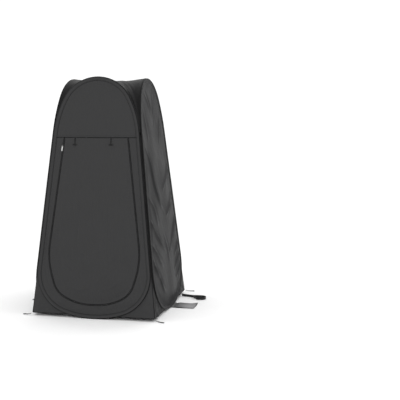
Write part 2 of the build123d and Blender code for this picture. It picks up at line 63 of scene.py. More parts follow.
# ---------------------------------------------------------------- driving dimensions, in metres
HALF_BASE = 0.510
TAPER = 0.105
SEAM_V = 1.426
HEM_HEIGHT = 0.025
SLEEVE_R = 0.0065
WALL_W = 0.008
HOOP_INSET = 0.008
HOOP_HEIGHT = 1.900
TOP_RADIUS, SHOULDER_RADIUS, CORNER_RADIUS, BOTTOM_RADIUS = 0.300, 0.750, 0.320, 0.800
ZIP_POINTS = [(0.2633, 1.426), (0.385, 0.455), (0.308, 0.200), (0.135, 0.110)]
ZIP_RADII = [0.620, 0.190, 0.450]
ZIP_TOP_V = 1.4275
ZIP_STOP_V = 1.410
PANEL_TO_ZIP = 0.0035
TAPE_LOW, TAPE_HIGH = 0.0086, 0.0093
PIVOT_V = 1.422
TOGGLE_W = 0.0123
TOGGLE_S = {"left": -0.174, "right": 0.124}
TOGGLE_CORD = 0.049
ROOF_CENTRE = 1.875
FLAP_Y = (-0.050, 0.112)
STRAP_Y, STRAP_START, STRAP_NECK_END, STRAP_END = 0.365, 0.519, 0.631, 0.762
STRAP_LOOP_R, STRAP_LOOP_DROP, STRAP_WIDTH, STRAP_THICK = 0.046, 0.012, 0.022, 0.0016
STRAP_TURN = -17.0
PEG_LOOPS = {"front_right": (1, -1, 0.070, 0), "front_left": (-1, -1, 0.088, 160),
             "back_right": (1, 1, 0.092, 40), "back_left": (-1, 1, 0.092, 150)}
PEG_CORNER, PEG_EYE_R, PEG_BAND, PEG_TILT = 0.517, 0.011, 0.0035, 10.0
CLOTH_THICK = 0.0008
FOLD_DEPTH = 1.9
PIPING_R = 0.0024
BEAD_END = 9                    # the corner section's points up to the end of its bead
SLEEVE_STEP = 0.009             # between the sections of a sleeve
PANEL_EDGE = -0.008             # how far a panel's edge is from the middle of the sleeve round it

LEAN = math.atan(TAPER)
SIN_LEAN, COS_LEAN = math.sin(LEAN), math.cos(LEAN)
SIDE = math.atan(TAPER * COS_LEAN)


# ---------------------------------------------------------------- places on a wall
def turned(wall, x, y, z):
    a = wall * math.pi / 2
    return np.stack([x * math.cos(a) - y * math.sin(a), x * math.sin(a) + y * math.cos(a), z], axis=-1)


def on_wall(wall, s, v, w):
    """Wall coordinates to the row frame."""
    s, v, w = np.broadcast_arrays(np.asarray(s, float), np.asarray(v, float), np.asarray(w, float))
    return turned(wall, s, v * SIN_LEAN - w * COS_LEAN - HALF_BASE, v * COS_LEAN + w * SIN_LEAN)


def along_wall(wall, ds, dv, dw):
    """A direction in wall coordinates, in the row frame."""
    ds, dv, dw = np.broadcast_arrays(np.asarray(ds, float), np.asarray(dv, float), np.asarray(dw, float))
    return turned(wall, ds, dv * SIN_LEAN - dw * COS_LEAN, dv * COS_LEAN + dw * SIN_LEAN)


def hip(v):
    """Half a wall's width between its hinge lines."""
    return HALF_BASE - v * math.tan(SIDE)


def height_v(height, w):
    """The slope coordinate of a height above the floor."""
    return (height - w * SIN_LEAN) / COS_LEAN


HOOP_TOP_V = height_v(HOOP_HEIGHT, WALL_W) - SLEEVE_R
HOOP_LOW_V = height_v(SLEEVE_R, WALL_W)
HEM_V = height_v(HEM_HEIGHT, WALL_W)


def smooth(x):
    x = np.clip(x, 0, 1)
    return x * x * (3 - 2 * x)


def travelled(points):
    """How far each point is along the line that it is on."""
    return np.concatenate([[0], np.cumsum(np.linalg.norm(np.diff(points, axis=0), axis=1))])


def spaced(points, step, closed=False):
    """The line again, with points about step apart."""
    points = np.asarray(points, float)
    if closed:
        points = np.vstack([points, points[:1]])
    travel = travelled(points)
    count = max(2, int(round(travel[-1] / step)) + 1)
    at = np.linspace(0, travel[-1], count)
    line = at_travel(points, travel, at)
    return line[:-1] if closed else line


def tangents(line, closed=False):
    if closed:
        run = np.roll(line, -1, axis=0) - np.roll(line, 1, axis=0)
    else:
        run = np.gradient(line, axis=0)
    return run / np.linalg.norm(run, axis=1)[:, None]


def arc(centre, radius, start, end, count=40):
    a = np.linspace(start, end, count)
    return np.stack([centre[0] + radius * np.cos(a), centre[1] + radius * np.sin(a)], axis=1)


def hoop_arcs():
    """The centres of a hoop's four arcs, and the angles where the first one ends and the last one starts."""
    side = HALF_BASE * math.cos(SIDE) - HOOP_INSET
    top = (0.0, HOOP_TOP_V - TOP_RADIUS)
    reach = SHOULDER_RADIUS - TOP_RADIUS
    top_end = SIDE + math.acos((top[1] * math.sin(SIDE) + SHOULDER_RADIUS - side) / reach)
    shoulder = (-reach * math.cos(top_end), top[1] - reach * math.sin(top_end))
    low = (0.0, HOOP_LOW_V + BOTTOM_RADIUS)
    reach = BOTTOM_RADIUS - CORNER_RADIUS
    low_start = SIDE - math.acos((side - CORNER_RADIUS - low[1] * math.sin(SIDE)) / reach)
    corner = (reach * math.cos(low_start), low[1] + reach * math.sin(low_start))
    return top, shoulder, corner, low, top_end, low_start


TOP_CENTRE, SHOULDER_CENTRE, CORNER_CENTRE, LOW_CENTRE, TOP_END, LOW_START = hoop_arcs()
# where the outline of a hoop, grown to the hinge lines, leaves them for its shoulder, and half the arch above
ROOF_CORNER_V = SHOULDER_CENTRE[1] + (SHOULDER_RADIUS + HOOP_INSET) * math.sin(SIDE)
ROOF_ARC = ((TOP_RADIUS + HOOP_INSET) * (math.pi / 2 - TOP_END)
            + (SHOULDER_RADIUS + HOOP_INSET) * (TOP_END - SIDE))


def hoop_half(grow):
    """The right half of a hoop's outline from its top to its lowest point, grown by an offset."""
    return np.vstack([
        arc(TOP_CENTRE, TOP_RADIUS + grow, math.pi / 2, TOP_END),
        arc(SHOULDER_CENTRE, SHOULDER_RADIUS + grow, TOP_END, SIDE)[1:],
        arc(CORNER_CENTRE, CORNER_RADIUS + grow, SIDE, LOW_START),
        arc(LOW_CENTRE, BOTTOM_RADIUS + grow, LOW_START, -math.pi / 2)[1:],
    ])


def hoop_line(grow, step):
    """The whole outline, clockwise from its top."""
    half = hoop_half(grow)
    return spaced(np.vstack([half, (half * (-1, 1))[-2:0:-1]]), step, closed=True)


def width_at(v, half):
    """How wide the right half of an outline is at v."""
    order = np.argsort(half[:, 1])
    return np.interp(v, half[order, 1], half[order, 0])


def hoop_half_width(v, grow):
    """Half the width inside a hoop's outline, grown by an offset."""
    return width_at(v, spaced(hoop_half(grow), 0.002))


def zip_line(grow, top_v=ZIP_TOP_V):
    """The zip's middle line from its top right end, round the bottom, to its top left end."""
    lean = (ZIP_POINTS[1][0] - ZIP_POINTS[0][0]) / (ZIP_POINTS[0][1] - ZIP_POINTS[1][1])
    top = (ZIP_POINTS[0][0] + (ZIP_POINTS[0][1] - top_v) * lean, top_v)
    half = [top] + ZIP_POINTS[1:]
    route = np.array(half + [(-s, v) for s, v in reversed(half)])
    radii = ZIP_RADII + ZIP_RADII[::-1]
    line = [route[:1]]
    for before, here, after, radius in zip(route, route[1:], route[2:], radii):
        a, b = (before - here) / np.linalg.norm(before - here), (after - here) / np.linalg.norm(after - here)
        turn = math.pi - math.acos(float(a @ b))
        centre = here + (a + b) / np.linalg.norm(a + b) * radius / math.cos(turn / 2)
        first, last = here + a * radius * math.tan(turn / 2), here + b * radius * math.tan(turn / 2)
        start = math.atan2(*(first - centre)[::-1])
        end = math.atan2(*(last - centre)[::-1])
        end += round((start - end) / (2 * math.pi)) * 2 * math.pi
        line.append(arc(centre, radius, start, end, 48))
    line.append(route[-1:])
    fine = spaced(np.vstack(line), 0.002)
    across = tangents(fine)
    return fine + grow * np.stack([-across[:, 1], across[:, 0]], axis=1)


def zip_half_width(v):
    """Half the width inside the zip."""
    line = zip_line(0.0)
    return width_at(v, line[line[:, 0] >= 0])


def nearest_on(points, line):
    """How far each point is from the nearest point of a line, and that point's number."""
    gap, at = np.full(len(points), np.inf), np.zeros(len(points))
    rows = np.arange(len(points))
    for start in range(0, len(line), 64):
        far = np.linalg.norm(points[:, None] - line[start:start + 64][None], axis=2)
        k = far.argmin(1)
        closer = far[rows, k] < gap
        gap[closer] = far[rows, k][closer]
        at[closer] = (start + k)[closer]
    return gap, at


def eased(line, times):
    """The line with its inner points drawn towards their neighbours."""
    for _ in range(times):
        line[1:-1] = (line[:-2] + 2 * line[1:-1] + line[2:]) / 4
    return line


def at_travel(line, travel, at):
    """Points at given distances along a line."""
    return np.stack([np.interp(at, travel, line[:, k]) for k in range(line.shape[1])], axis=1)


# ---------------------------------------------------------------- wrinkles
def curve_through(points, count=26):
    """A smooth line through a few points."""
    points = np.asarray(points, float)
    travel = travelled(points)
    at = np.linspace(0, travel[-1], count)
    return eased(at_travel(points, travel, at), 6)


def creases(s, v, strokes):
    """Sharp-topped folds along lines. Each stroke is (points, height, width)."""
    total = np.zeros(len(s))
    for points, height, width in strokes:
        line = curve_through(points)
        low, high = line.min(0) - 5 * width, line.max(0) + 5 * width
        near = np.where((s > low[0]) & (s < high[0]) & (v > low[1]) & (v < high[1]))[0]
        if len(near) == 0:
            continue
        p = np.stack([s[near], v[near]], axis=1)
        a, b = line[:-1], line[1:]
        run = b - a
        length2 = (run * run).sum(1)
        rel = p[:, None] - a[None]
        t = np.clip((rel * run[None]).sum(2) / length2, 0, 1)
        off = rel - t[..., None] * run[None]
        far = np.linalg.norm(off, axis=2)
        nearest = far.argmin(1)
        rows = np.arange(len(p))
        side = np.sign(run[nearest, 0] * rel[rows, nearest, 1] - run[nearest, 1] * rel[rows, nearest, 0])
        d = far[rows, nearest] * side / width
        share = (nearest + t[rows, nearest]) / len(run)
        taper = np.sin(np.pi * np.clip(share, 0.001, 0.999)) ** 0.7
        spread = 1 + 0.5 * share
        ridge = np.exp(-np.abs(d / spread) ** 1.5) - 0.42 * np.exp(-((d / spread - 1.7) / 1.1) ** 2)
        total[near] += height * taper * ridge
    return total


def ripples(s, v, seed, height, lengths, angle_low=0.0, angle_high=math.pi, count=7):
    """A sum of slow waves in seeded directions."""
    rng = np.random.default_rng(seed)
    total = np.zeros(len(s))
    for _ in range(count):
        angle = rng.uniform(angle_low, angle_high)
        length = rng.uniform(*lengths)
        phase = rng.uniform(0, 2 * math.pi)
        bend = rng.uniform(-0.6, 0.6)
        along = s * math.cos(angle) + v * math.sin(angle) + bend * 0.05 * np.sin(v * 5 + phase)
        total += np.sin(2 * math.pi * along / length + phase)
    return height * total / math.sqrt(count)


def swags(seed, count, v_low, v_high, height=(0.0030, 0.0062), width=(0.008, 0.015)):
    """Folds that hang from both sides of a panel down to its middle, in a V."""
    rng = np.random.default_rng(seed)
    strokes = []
    for i in range(count):
        side = 1 if i % 2 else -1
        start_v = v_low + (v_high - v_low) * (i + rng.uniform(0.1, 0.9)) / count
        edge = float(hoop_half_width(start_v, -0.03)) - 0.03
        reach = rng.uniform(0.22, 0.44)
        drop = reach * rng.uniform(0.55, 1.0)
        points = [(side * edge, start_v)]
        for share in (0.35, 0.7, 1.0):
            fall = drop * share ** 0.85 - rng.uniform(-0.008, 0.008)
            points.append((side * (edge - reach * share), start_v - fall))
        strokes.append((points, rng.uniform(*height), rng.uniform(*width)))
    return strokes


# ---------------------------------------------------------------- meshes
def placed(name, data):
    """A new object in the scene."""
    made = bpy.data.objects.new(name, data)
    bpy.context.scene.collection.objects.link(made)
    return made


def mesh_object(name, points, faces, cloth=None, materials=(), face_material=None):
    mesh = bpy.data.meshes.new(name)
    corners = [tuple(int(i) for i in face) for face in faces]
    mesh.from_pydata([tuple(p) for p in np.asarray(points, float)], [], corners)
    mesh.validate(clean_customdata=False)
    if cloth is not None:
        layer = mesh.attributes.new("cloth", "FLOAT_VECTOR", "POINT")
        layer.data.foreach_set("vector", np.asarray(cloth, np.float32).ravel())
    for material in materials:
        mesh.materials.append(material)
    if face_material is not None:
        mesh.polygons.foreach_set("material_index", np.asarray(face_material, np.int32))
    mesh.polygons.foreach_set("use_smooth", [True] * len(mesh.polygons))
    mesh.update()
    return placed(name, mesh)


def grid_faces(rows, columns):
    i, j = np.meshgrid(np.arange(rows - 1), np.arange(columns - 1), indexing="ij")
    a = (i * columns + j).ravel()
    return np.stack([a, a + 1, a + columns + 1, a + columns], axis=1)


def thicken(piece, thickness, offset=0.0):
    solid = piece.modifiers.new("thickness", "SOLIDIFY")
    solid.thickness = thickness
    solid.offset = offset
    return piece


def between_sides(v, half, columns):
    """Wall coordinates of a grid whose rows, at each v, reach half to each side."""
    return (half[:, None] * np.linspace(-1, 1, columns)[None]).ravel(), np.repeat(v, columns)


def cloth_piece(name, wall, s, v, w, shape, material):
    """A fabric panel from a grid of wall coordinates, as a closed thin skin."""
    cloth = np.stack([s, v, np.zeros(len(s))], axis=1)
    piece = mesh_object(name, on_wall(wall, s, v, w), grid_faces(*shape), cloth, [material])
    return thicken(piece, CLOTH_THICK)


def settle(piece, body, slot, *nodes):
    """What a piece moves with and which CAD nodes it stands for. The slot argument, a finish name, is not
    used.
    """
    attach(piece, body)
    if nodes:
        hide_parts(*nodes)


def ring(count, wide, high, shift=0.0):
    """A round section, shifted sideways."""
    angles = np.linspace(0, 2 * math.pi, count + 1)[:-1]
    return np.stack([wide * np.cos(angles) + shift, high * np.sin(angles)], axis=1)


def swept(name, centre, across, up, profile, closed=False, materials=(), profile_material=None):
    """A closed section carried along a line. profile is (M, 2), or (N, M, 2) where it changes."""
    profile = np.asarray(profile, float)
    if profile.ndim == 2:
        profile = np.broadcast_to(profile, (len(centre), *profile.shape))
    n, m = len(centre), profile.shape[1]
    points = centre[:, None] + across[:, None] * profile[..., :1] + up[:, None] * profile[..., 1:]
    section = np.linalg.norm(np.diff(profile[0], axis=0, append=profile[0][:1]), axis=1)
    round_it = np.concatenate([[0], np.cumsum(section)[:-1]])
    travel = travelled(centre)
    cloth = np.stack([np.broadcast_to(round_it, (n, m)), np.broadcast_to(travel[:, None], (n, m)),
                      np.zeros((n, m))], axis=2).reshape(-1, 3)
    faces, kinds = [], []
    for i in range(n if closed else n - 1):
        k = (i + 1) % n
        for j in range(m):
            l = (j + 1) % m
            faces.append((i * m + j, i * m + l, k * m + l, k * m + j))
            kinds.append(0 if profile_material is None else profile_material[j])
    if not closed:
        faces += [tuple(range(m))[::-1], tuple((n - 1) * m + j for j in range(m))]
        kinds += [kinds[0], kinds[0]]
    return mesh_object(name, points.reshape(-1, 3), faces, cloth, materials, kinds)


def wall_frames(wall, line, w, closed=False):
    """Centre, outward side and wall normal for a line drawn on a wall."""
    run = tangents(line, closed)
    centre = on_wall(wall, line[:, 0], line[:, 1], w)
    across = along_wall(wall, -run[:, 1], run[:, 0], 0.0)
    up = np.broadcast_to(along_wall(wall, 0.0, 0.0, 1.0), centre.shape)
    ahead = along_wall(wall, run[:, 0], run[:, 1], 0.0)
    return centre, across, up, ahead


def scattered(name, centre, ahead, across, up, points, faces, material):
    """Many copies of one small shape, whose points are (ahead, across, up)."""
    points = np.asarray(points, float)
    made = (centre[:, None] + ahead[:, None] * points[None, :, :1] + across[:, None] * points[None, :, 1:2]
            + up[:, None] * points[None, :, 2:])
    every = [tuple(i * len(points) + k for k in face) for i in range(len(centre)) for face in faces]
    cloth = np.broadcast_to(points[None], made.shape).reshape(-1, 3)
    return mesh_object(name, made.reshape(-1, 3), every, cloth, [material])


def bead(length, radius, sides, along=0, sunk=0.0, ends=0.45):
    """A short thread or tooth: four rings of points, thinner at both ends."""
    rings = [(-0.5, ends, -sunk), (-0.32, 1.0, 0.0), (0.32, 1.0, 0.0), (0.5, ends, -sunk)]
    points, faces = [], []
    for at, size, low in rings:
        for k in range(sides):
            a = 2 * math.pi * (k + 0.5) / sides
            p = [at * length, radius * size * math.cos(a), radius * size * math.sin(a) + low]
            if along == 1:
                p = [p[1], p[0], p[2]]
            points.append(p)
    for r in range(3):
        for k in range(sides):
            l = (k + 1) % sides
            quad = (r * sides + k, r * sides + l, (r + 1) * sides + l, (r + 1) * sides + k)
            faces.append(quad if along == 1 else quad[::-1])
    first, last = tuple(range(sides)), tuple(3 * sides + k for k in range(sides))
    faces += [first[::-1], last] if along == 1 else [first, last[::-1]]
    return points, faces


def stitch_row(name, wall, line, w, pitch, length, radius, closed=False):
    """A row of sewn stitches along a line on a wall."""
    line = spaced(line, pitch, closed)
    centre, across, up, ahead = wall_frames(wall, line, w, closed)
    points, faces = bead(length, radius, 4, sunk=radius * 0.9)
    return scattered(name, centre, ahead, across, up, points, faces, THREAD)


# ---------------------------------------------------------------- materials
def new_material(name):
    material = bpy.data.materials.new(name)
    material.use_nodes = True
    tree = material.node_tree
    return material, tree, tree.nodes["Principled BSDF"]


def node(tree, kind, **values):
    made = tree.nodes.new(kind)
    for key, value in values.items():
        if key in made.inputs:
            made.inputs[key].default_value = value
        else:
            setattr(made, key.lower(), value)
    return made


def math_node(tree, operation, a, b=None):
    made = tree.nodes.new("ShaderNodeMath")
    made.operation = operation
    for socket, value in zip(made.inputs, (a, b)):
        if value is None:
            continue
        if isinstance(value, (int, float)):
            socket.default_value = value
        else:
            tree.links.new(value, socket)
    return made.outputs[0]


def coordinates(tree, from_cloth, stretch=(1, 1, 1)):
    if from_cloth:
        source = tree.nodes.new("ShaderNodeAttribute")
        source.attribute_name = "cloth"
        out = source.outputs["Vector"]
    else:
        out = tree.nodes.new("ShaderNodeTexCoord").outputs["Object"]
    mapping = node(tree, "ShaderNodeMapping", Scale=stretch)
    tree.links.new(out, mapping.inputs["Vector"])
    return mapping.outputs["Vector"]


def noise(tree, vector, scale, detail=2.0, roughness=0.5):
    made = node(tree, "ShaderNodeTexNoise", Scale=scale, Detail=detail, Roughness=roughness)
    tree.links.new(vector, made.inputs["Vector"])
    return made.outputs["Fac"]


def tinted(tree, bsdf, colour, factors):
    """Base colour times the product of factors, each remapped about 1 by its own amount."""
    value = None
    for fac, amount in factors:
        spread = math_node(tree, "MULTIPLY", math_node(tree, "SUBTRACT", fac, 0.5), 2 * amount)
        one = math_node(tree, "ADD", spread, 1.0)
        value = one if value is None else math_node(tree, "MULTIPLY", value, one)
    scale = tree.nodes.new("ShaderNodeVectorMath")
    scale.operation = "SCALE"
    scale.inputs[0].default_value = colour
    tree.links.new(value, scale.inputs["Scale"])
    tree.links.new(scale.outputs["Vector"], bsdf.inputs["Base Color"])


def bump(tree, bsdf, height, strength, distance):
    made = node(tree, "ShaderNodeBump", Strength=strength, Distance=distance)
    tree.links.new(height, made.inputs["Height"])
    tree.links.new(made.outputs["Normal"], bsdf.inputs["Normal"])


def vary_roughness(tree, bsdf, source, low, high):
    made = tree.nodes.new("ShaderNodeMapRange")
    made.inputs["To Min"].default_value = low
    made.inputs["To Max"].default_value = high
    tree.links.new(source, made.inputs["Value"])
    tree.links.new(made.outputs[0], bsdf.inputs["Roughness"])


def weave_height(tree, from_cloth, pitch):
    """Over and under threads at right angles."""
    vector = coordinates(tree, from_cloth)
    split = tree.nodes.new("ShaderNodeSeparateXYZ")
    tree.links.new(vector, split.inputs[0])
    k = 2 * math.pi / pitch
    warp = math_node(tree, "SINE", math_node(tree, "MULTIPLY", split.outputs[0], k))
    weft = math_node(tree, "SINE", math_node(tree, "MULTIPLY", split.outputs[1], k))
    crossed = math_node(tree, "MULTIPLY", warp, weft)
    return math_node(tree, "ADD", math_node(tree, "MULTIPLY", crossed, 0.5), 0.5)


def along_cloth(tree, low, high):
    """0 to 1 between two distances along the cloth's first direction."""
    split = tree.nodes.new("ShaderNodeSeparateXYZ")
    tree.links.new(coordinates(tree, True), split.inputs[0])
    made = tree.nodes.new("ShaderNodeMapRange")
    made.inputs["From Min"].default_value = low
    made.inputs["From Max"].default_value = high
    tree.links.new(split.outputs[0], made.inputs["Value"])
    return made.outputs[0]


def fabric(name, colour, pitch=0.0009, roughness=0.72, sheen=0.12, mottling=0.05, streaks=0.045,
           weave=0.14, depth=0.0002, specular=0.18, from_cloth=True, painted_shade_ramp=None):
    material, tree, bsdf = new_material(name)
    height = weave_height(tree, from_cloth, pitch)
    cloudy = noise(tree, coordinates(tree, from_cloth), 3.2, 4.0, 0.6)
    streaky = noise(tree, coordinates(tree, from_cloth, (260, 5, 5)), 1.0, 3.0, 0.55)
    cross = noise(tree, coordinates(tree, from_cloth, (5, 260, 5)), 1.0, 2.0, 0.5)
    fuzz = noise(tree, coordinates(tree, from_cloth), 900.0, 2.0, 0.6)
    factors = [(cloudy, mottling), (streaky, streaks), (cross, streaks * 0.5), (height, weave), (fuzz, 0.06)]
    # Painted shade: the optional ramp darkens the colour at the low end of its span along the cloth and
    # lightens it at the high end.
    if painted_shade_ramp:
        factors.append((along_cloth(tree, *painted_shade_ramp[:2]), painted_shade_ramp[2]))
    tinted(tree, bsdf, colour, factors)
    tall = math_node(tree, "ADD", height, math_node(tree, "MULTIPLY", streaky, 0.6))
    bump(tree, bsdf, math_node(tree, "ADD", tall, math_node(tree, "MULTIPLY", fuzz, 0.4)), 0.5, depth)
    vary_roughness(tree, bsdf, cloudy, roughness - 0.08, roughness + 0.08)
    bsdf.inputs["Specular IOR Level"].default_value = specular
    bsdf.inputs["Sheen Weight"].default_value = sheen
    bsdf.inputs["Sheen Roughness"].default_value = 0.45
    return material


def hard(name, colour, metallic, roughness, grain=(1, 1, 1), grain_scale=400.0, amount=0.12, specular=0.5,
         depth=0.00005, from_cloth=False):
    material, tree, bsdf = new_material(name)
    vector = coordinates(tree, from_cloth, grain)
    fine = noise(tree, vector, grain_scale, 4.0, 0.65)
    worn = noise(tree, coordinates(tree, from_cloth), 60.0, 5.0, 0.7)
    tinted(tree, bsdf, colour, [(fine, amount), (worn, amount)])
    vary_roughness(tree, bsdf, worn, max(0.05, roughness - 0.12), roughness + 0.16)
    bump(tree, bsdf, fine, 0.35, depth)
    bsdf.inputs["Metallic"].default_value = metallic
    bsdf.inputs["Specular IOR Level"].default_value = specular
    return material


# One black polyester in three painted tones: lighter on the front, darker on the right, back and left walls,
# and darkest on the roof. The tones are painted light and shade that set how bright each face looks.
FRONT_CLOTH_PAINTED_LIGHTER = fabric("front_cloth_painted_lighter", (0.0300, 0.0300, 0.0306))
WALL_CLOTH_PAINTED_DARKER = fabric("wall_cloth_painted_darker", (0.0165, 0.0165, 0.0169), roughness=0.46, sheen=0.0, specular=0.07)
ROOF_CLOTH_PAINTED_SHADE = fabric("roof_cloth_painted_shade", (0.0050, 0.0050, 0.0052), roughness=0.46, sheen=0.0, specular=0.14)
BLACK_TAPE = fabric("black_tape", (0.0045, 0.0045, 0.0048), pitch=0.0012, weave=0.35, depth=0.0004,
                    streaks=0.05, specular=0.12, sheen=0.10)
THREAD = fabric("black_thread", (0.0060, 0.0060, 0.0064), pitch=0.0006, weave=0.3, sheen=0.08, specular=0.15)
ZIP_TAPE = fabric("zip_tape_weave", (0.0070, 0.0070, 0.0074), pitch=0.0016, weave=0.40, depth=0.0005,
                  streaks=0.05, specular=0.12, sheen=0.10)
ELASTIC = fabric("braided_elastic", (0.0040, 0.0040, 0.0043), pitch=0.0014, weave=0.45, depth=0.0005,
                 sheen=0.04)
ELASTIC_PLAIN = fabric("braided_elastic_loops", (0.0030, 0.0030, 0.0032), pitch=0.0014, weave=0.45,
                       depth=0.0005, sheen=0.03, specular=0.10, from_cloth=False)
WEBBING = fabric("strap_webbing", (0.0080, 0.0080, 0.0085), pitch=0.0022, weave=0.5, depth=0.0008,
                 roughness=0.55, specular=0.3)
# The flap's colour ramp is painted shade: darker where the flap meets the wall, as in the tent's shadow, and
# lighter towards its outer end.
FLAP_CLOTH_PAINTED_SHADE = fabric("coated_flap_cloth_painted_shade", (0.115, 0.115, 0.118), roughness=0.5, sheen=0.10, specular=0.30,
                    painted_shade_ramp=(0.0, 0.13, 0.80))
COIL = hard("nylon_coil", (0.012, 0.012, 0.0125), 0.0, 0.38, amount=0.15, from_cloth=True)
LACQUER = hard("black_lacquer", (0.014, 0.014, 0.0145), 0.0, 0.30, amount=0.2)
SATIN = hard("satin_pull_metal", (0.62, 0.62, 0.61), 1.0, 0.34, grain=(1, 1, 0.05), grain_scale=1500.0)
PLASTIC = hard("moulded_plastic", (0.0045, 0.0045, 0.0048), 0.0, 0.36, grain_scale=900.0, amount=0.10,
               specular=0.25)
SPRING = hard("spring_steel_wire", (0.20, 0.20, 0.205), 1.0, 0.38, amount=0.2)
CRIMPED = hard("ferrule_tube", (0.46, 0.46, 0.465), 1.0, 0.32, amount=0.2)


# ---------------------------------------------------------------- the fabric panels
def wall_field(s, v, rim_line, free_from=0.024, free_to=0.070):
    """How free the cloth is: 0 where it is sewn down at its rim, 1 well inside."""
    return smooth((nearest_on(np.stack([s, v], axis=1), rim_line)[0] - free_from) / (free_to - free_from))


def rim_gathers(s, v, rim_line, seed, height=0.0011, length=0.020, reach=0.075):
    """Small puckers that run in from the sewn rim and die away."""
    gap, at = nearest_on(np.stack([s, v], axis=1), rim_line)
    step = np.linalg.norm(np.diff(rim_line, axis=0), axis=1).mean()
    travel = at * step
    rng = np.random.default_rng(seed)
    a, b, c = rng.uniform(0, 6.28, 3)
    wave = np.sin(2 * math.pi * travel / length + a + 2 * np.sin(travel * 9 + b))
    wave = wave * (0.55 + 0.45 * np.sin(travel * 7 + c))
    return height * wave * smooth((gap - 0.018) / 0.012) * (1 - smooth((gap - 0.03) / reach))


RIGHT_FOLDS = [
    ([(-0.30, 1.36), (-0.221, 1.269), (-0.192, 1.091), (-0.150, 1.000), (-0.095, 0.880), (0.06, 0.785)],
     0.0078, 0.013),
    ([(0.43, 0.93), (0.35, 0.884), (0.221, 0.838), (0.085, 0.770)], 0.0062, 0.010),
    ([(0.45, 0.80), (0.409, 0.765), (0.298, 0.643), (0.15, 0.501), (0.08, 0.45)], 0.0066, 0.012),
    ([(0.36, 1.23), (0.269, 1.141), (0.150, 1.050), (0.05, 0.975)], 0.0060, 0.012),
    ([(0.40, 1.22), (0.369, 1.182), (0.242, 1.078), (0.16, 1.02)], 0.0058, 0.010),
    ([(-0.40, 0.80), (-0.307, 0.690), (-0.215, 0.603), (-0.150, 0.545), (-0.02, 0.462)], 0.0070, 0.011),
    ([(-0.42, 0.60), (-0.308, 0.501), (-0.243, 0.427), (-0.15, 0.37)], 0.0056, 0.012),
    ([(-0.36, 0.96), (-0.260, 0.870), (-0.173, 0.703)], 0.0050, 0.014),
    ([(0.47, 0.62), (0.440, 0.540), (0.317, 0.437), (0.22, 0.39)], 0.0064, 0.011),
    ([(0.47, 0.47), (0.400, 0.390), (0.299, 0.332), (0.186, 0.273)], 0.0064, 0.010),
    ([(0.44, 0.36), (0.380, 0.275), (0.311, 0.233), (0.22, 0.20)], 0.0058, 0.010),
    ([(-0.40, 0.42), (-0.276, 0.296), (-0.217, 0.201), (-0.15, 0.15)], 0.0060, 0.012),
    ([(-0.44, 0.54), (-0.38, 0.40), (-0.30, 0.30)], 0.0045, 0.013),
    ([(0.40, 0.98), (0.30, 0.90), (0.16, 0.80), (0.08, 0.76)], 0.0040, 0.012),
    ([(-0.16, 1.79), (-0.106, 1.73), (-0.02, 1.60)], 0.0030, 0.010),
    ([(-0.24, 1.66), (-0.20, 1.52), (-0.17, 1.38)], 0.0030, 0.012),
    ([(-0.10, 1.82), (-0.03, 1.70), (0.02, 1.56)], 0.0028, 0.009),
    ([(0.10, 1.80), (0.06, 1.66), (0.05, 1.50)], 0.0026, 0.011),
    ([(0.24, 1.62), (0.18, 1.50), (0.14, 1.36)], 0.0032, 0.011),
    ([(-0.05, 0.62), (0.02, 0.50), (0.05, 0.36)], 0.0036, 0.016),
]


def plain_wall(wall, strokes, seed, rows=230, columns=104):
    """The single panel of a wall with no door, with its folds."""
    name = WALL_NAMES[wall]
    rim = hoop_line(PANEL_EDGE, 0.008)
    t = np.linspace(0.012, 0.988, rows)
    low, high = HOOP_LOW_V - PANEL_EDGE, HOOP_TOP_V + PANEL_EDGE
    v = low + (high - low) * (1 - np.cos(math.pi * t)) / 2
    s, v = between_sides(v, hoop_half_width(v, PANEL_EDGE), columns)
    free = wall_field(s, v, rim)
    w = WALL_W + free * (FOLD_DEPTH * creases(s, v, strokes) + ripples(s, v, seed, 0.0024, (0.20, 0.46))
                         + ripples(s, v, seed + 1, 0.00025, (0.04, 0.08), 0.2, 1.2))
    w = w + free * 0.010 * np.sin(math.pi * np.clip(v / 1.5, 0, 1)) * (1 - (s / 0.5) ** 2)
    w = w + rim_gathers(s, v, rim, seed + 2) * (1 + 0.9 * (1 - smooth(v / 0.45)))
    piece = cloth_piece(f"{name}_wall_cloth_painted_darker", wall, s, v, w, (rows, columns), WALL_CLOTH_PAINTED_DARKER)
    settle(piece, f"{name}_wall", "wall_fabric", f"{name}_panel")
    return piece


plain_wall(RIGHT, RIGHT_FOLDS, 11)
plain_wall(LEFT, swags(31, 15, 0.36, 1.36), 41)
plain_wall(BACK, swags(57, 17, 0.34, 1.42), 61)


def front_top():
    """The arch of cloth above the seam."""
    rows, columns = 66, 92
    rim = hoop_line(PANEL_EDGE, 0.008)
    t = np.linspace(0, 0.985, rows)
    v = ZIP_TOP_V + (HOOP_TOP_V + PANEL_EDGE - ZIP_TOP_V) * np.sin(math.pi / 2 * t)
    s, v = between_sides(v, hoop_half_width(v, PANEL_EDGE), columns)
    free = wall_field(s, v, rim) * smooth((v - SEAM_V - 0.014) / 0.05)
    strokes = [([(-0.28, 1.47), (-0.22, 1.56), (-0.17, 1.66)], 0.0022, 0.014),
               ([(0.29, 1.47), (0.24, 1.55), (0.19, 1.62)], 0.0024, 0.013),
               ([(-0.05, 1.46), (-0.03, 1.58), (-0.06, 1.72)], 0.0016, 0.016),
               ([(0.12, 1.46), (0.10, 1.56), (0.10, 1.70)], 0.0018, 0.015)]
    w = WALL_W + free * (creases(s, v, strokes) + ripples(s, v, 71, 0.0022, (0.18, 0.4))
                         + ripples(s, v, 72, 0.0005, (0.03, 0.06), -0.3, 0.3))
    w = w + rim_gathers(s, v, rim, 73, 0.0008)
    piece = cloth_piece("front_top_cloth", FRONT, s, v, w, (rows, columns), FRONT_CLOTH_PAINTED_LIGHTER)
    settle(piece, "front_wall", "front_fabric", "front_top_panel")


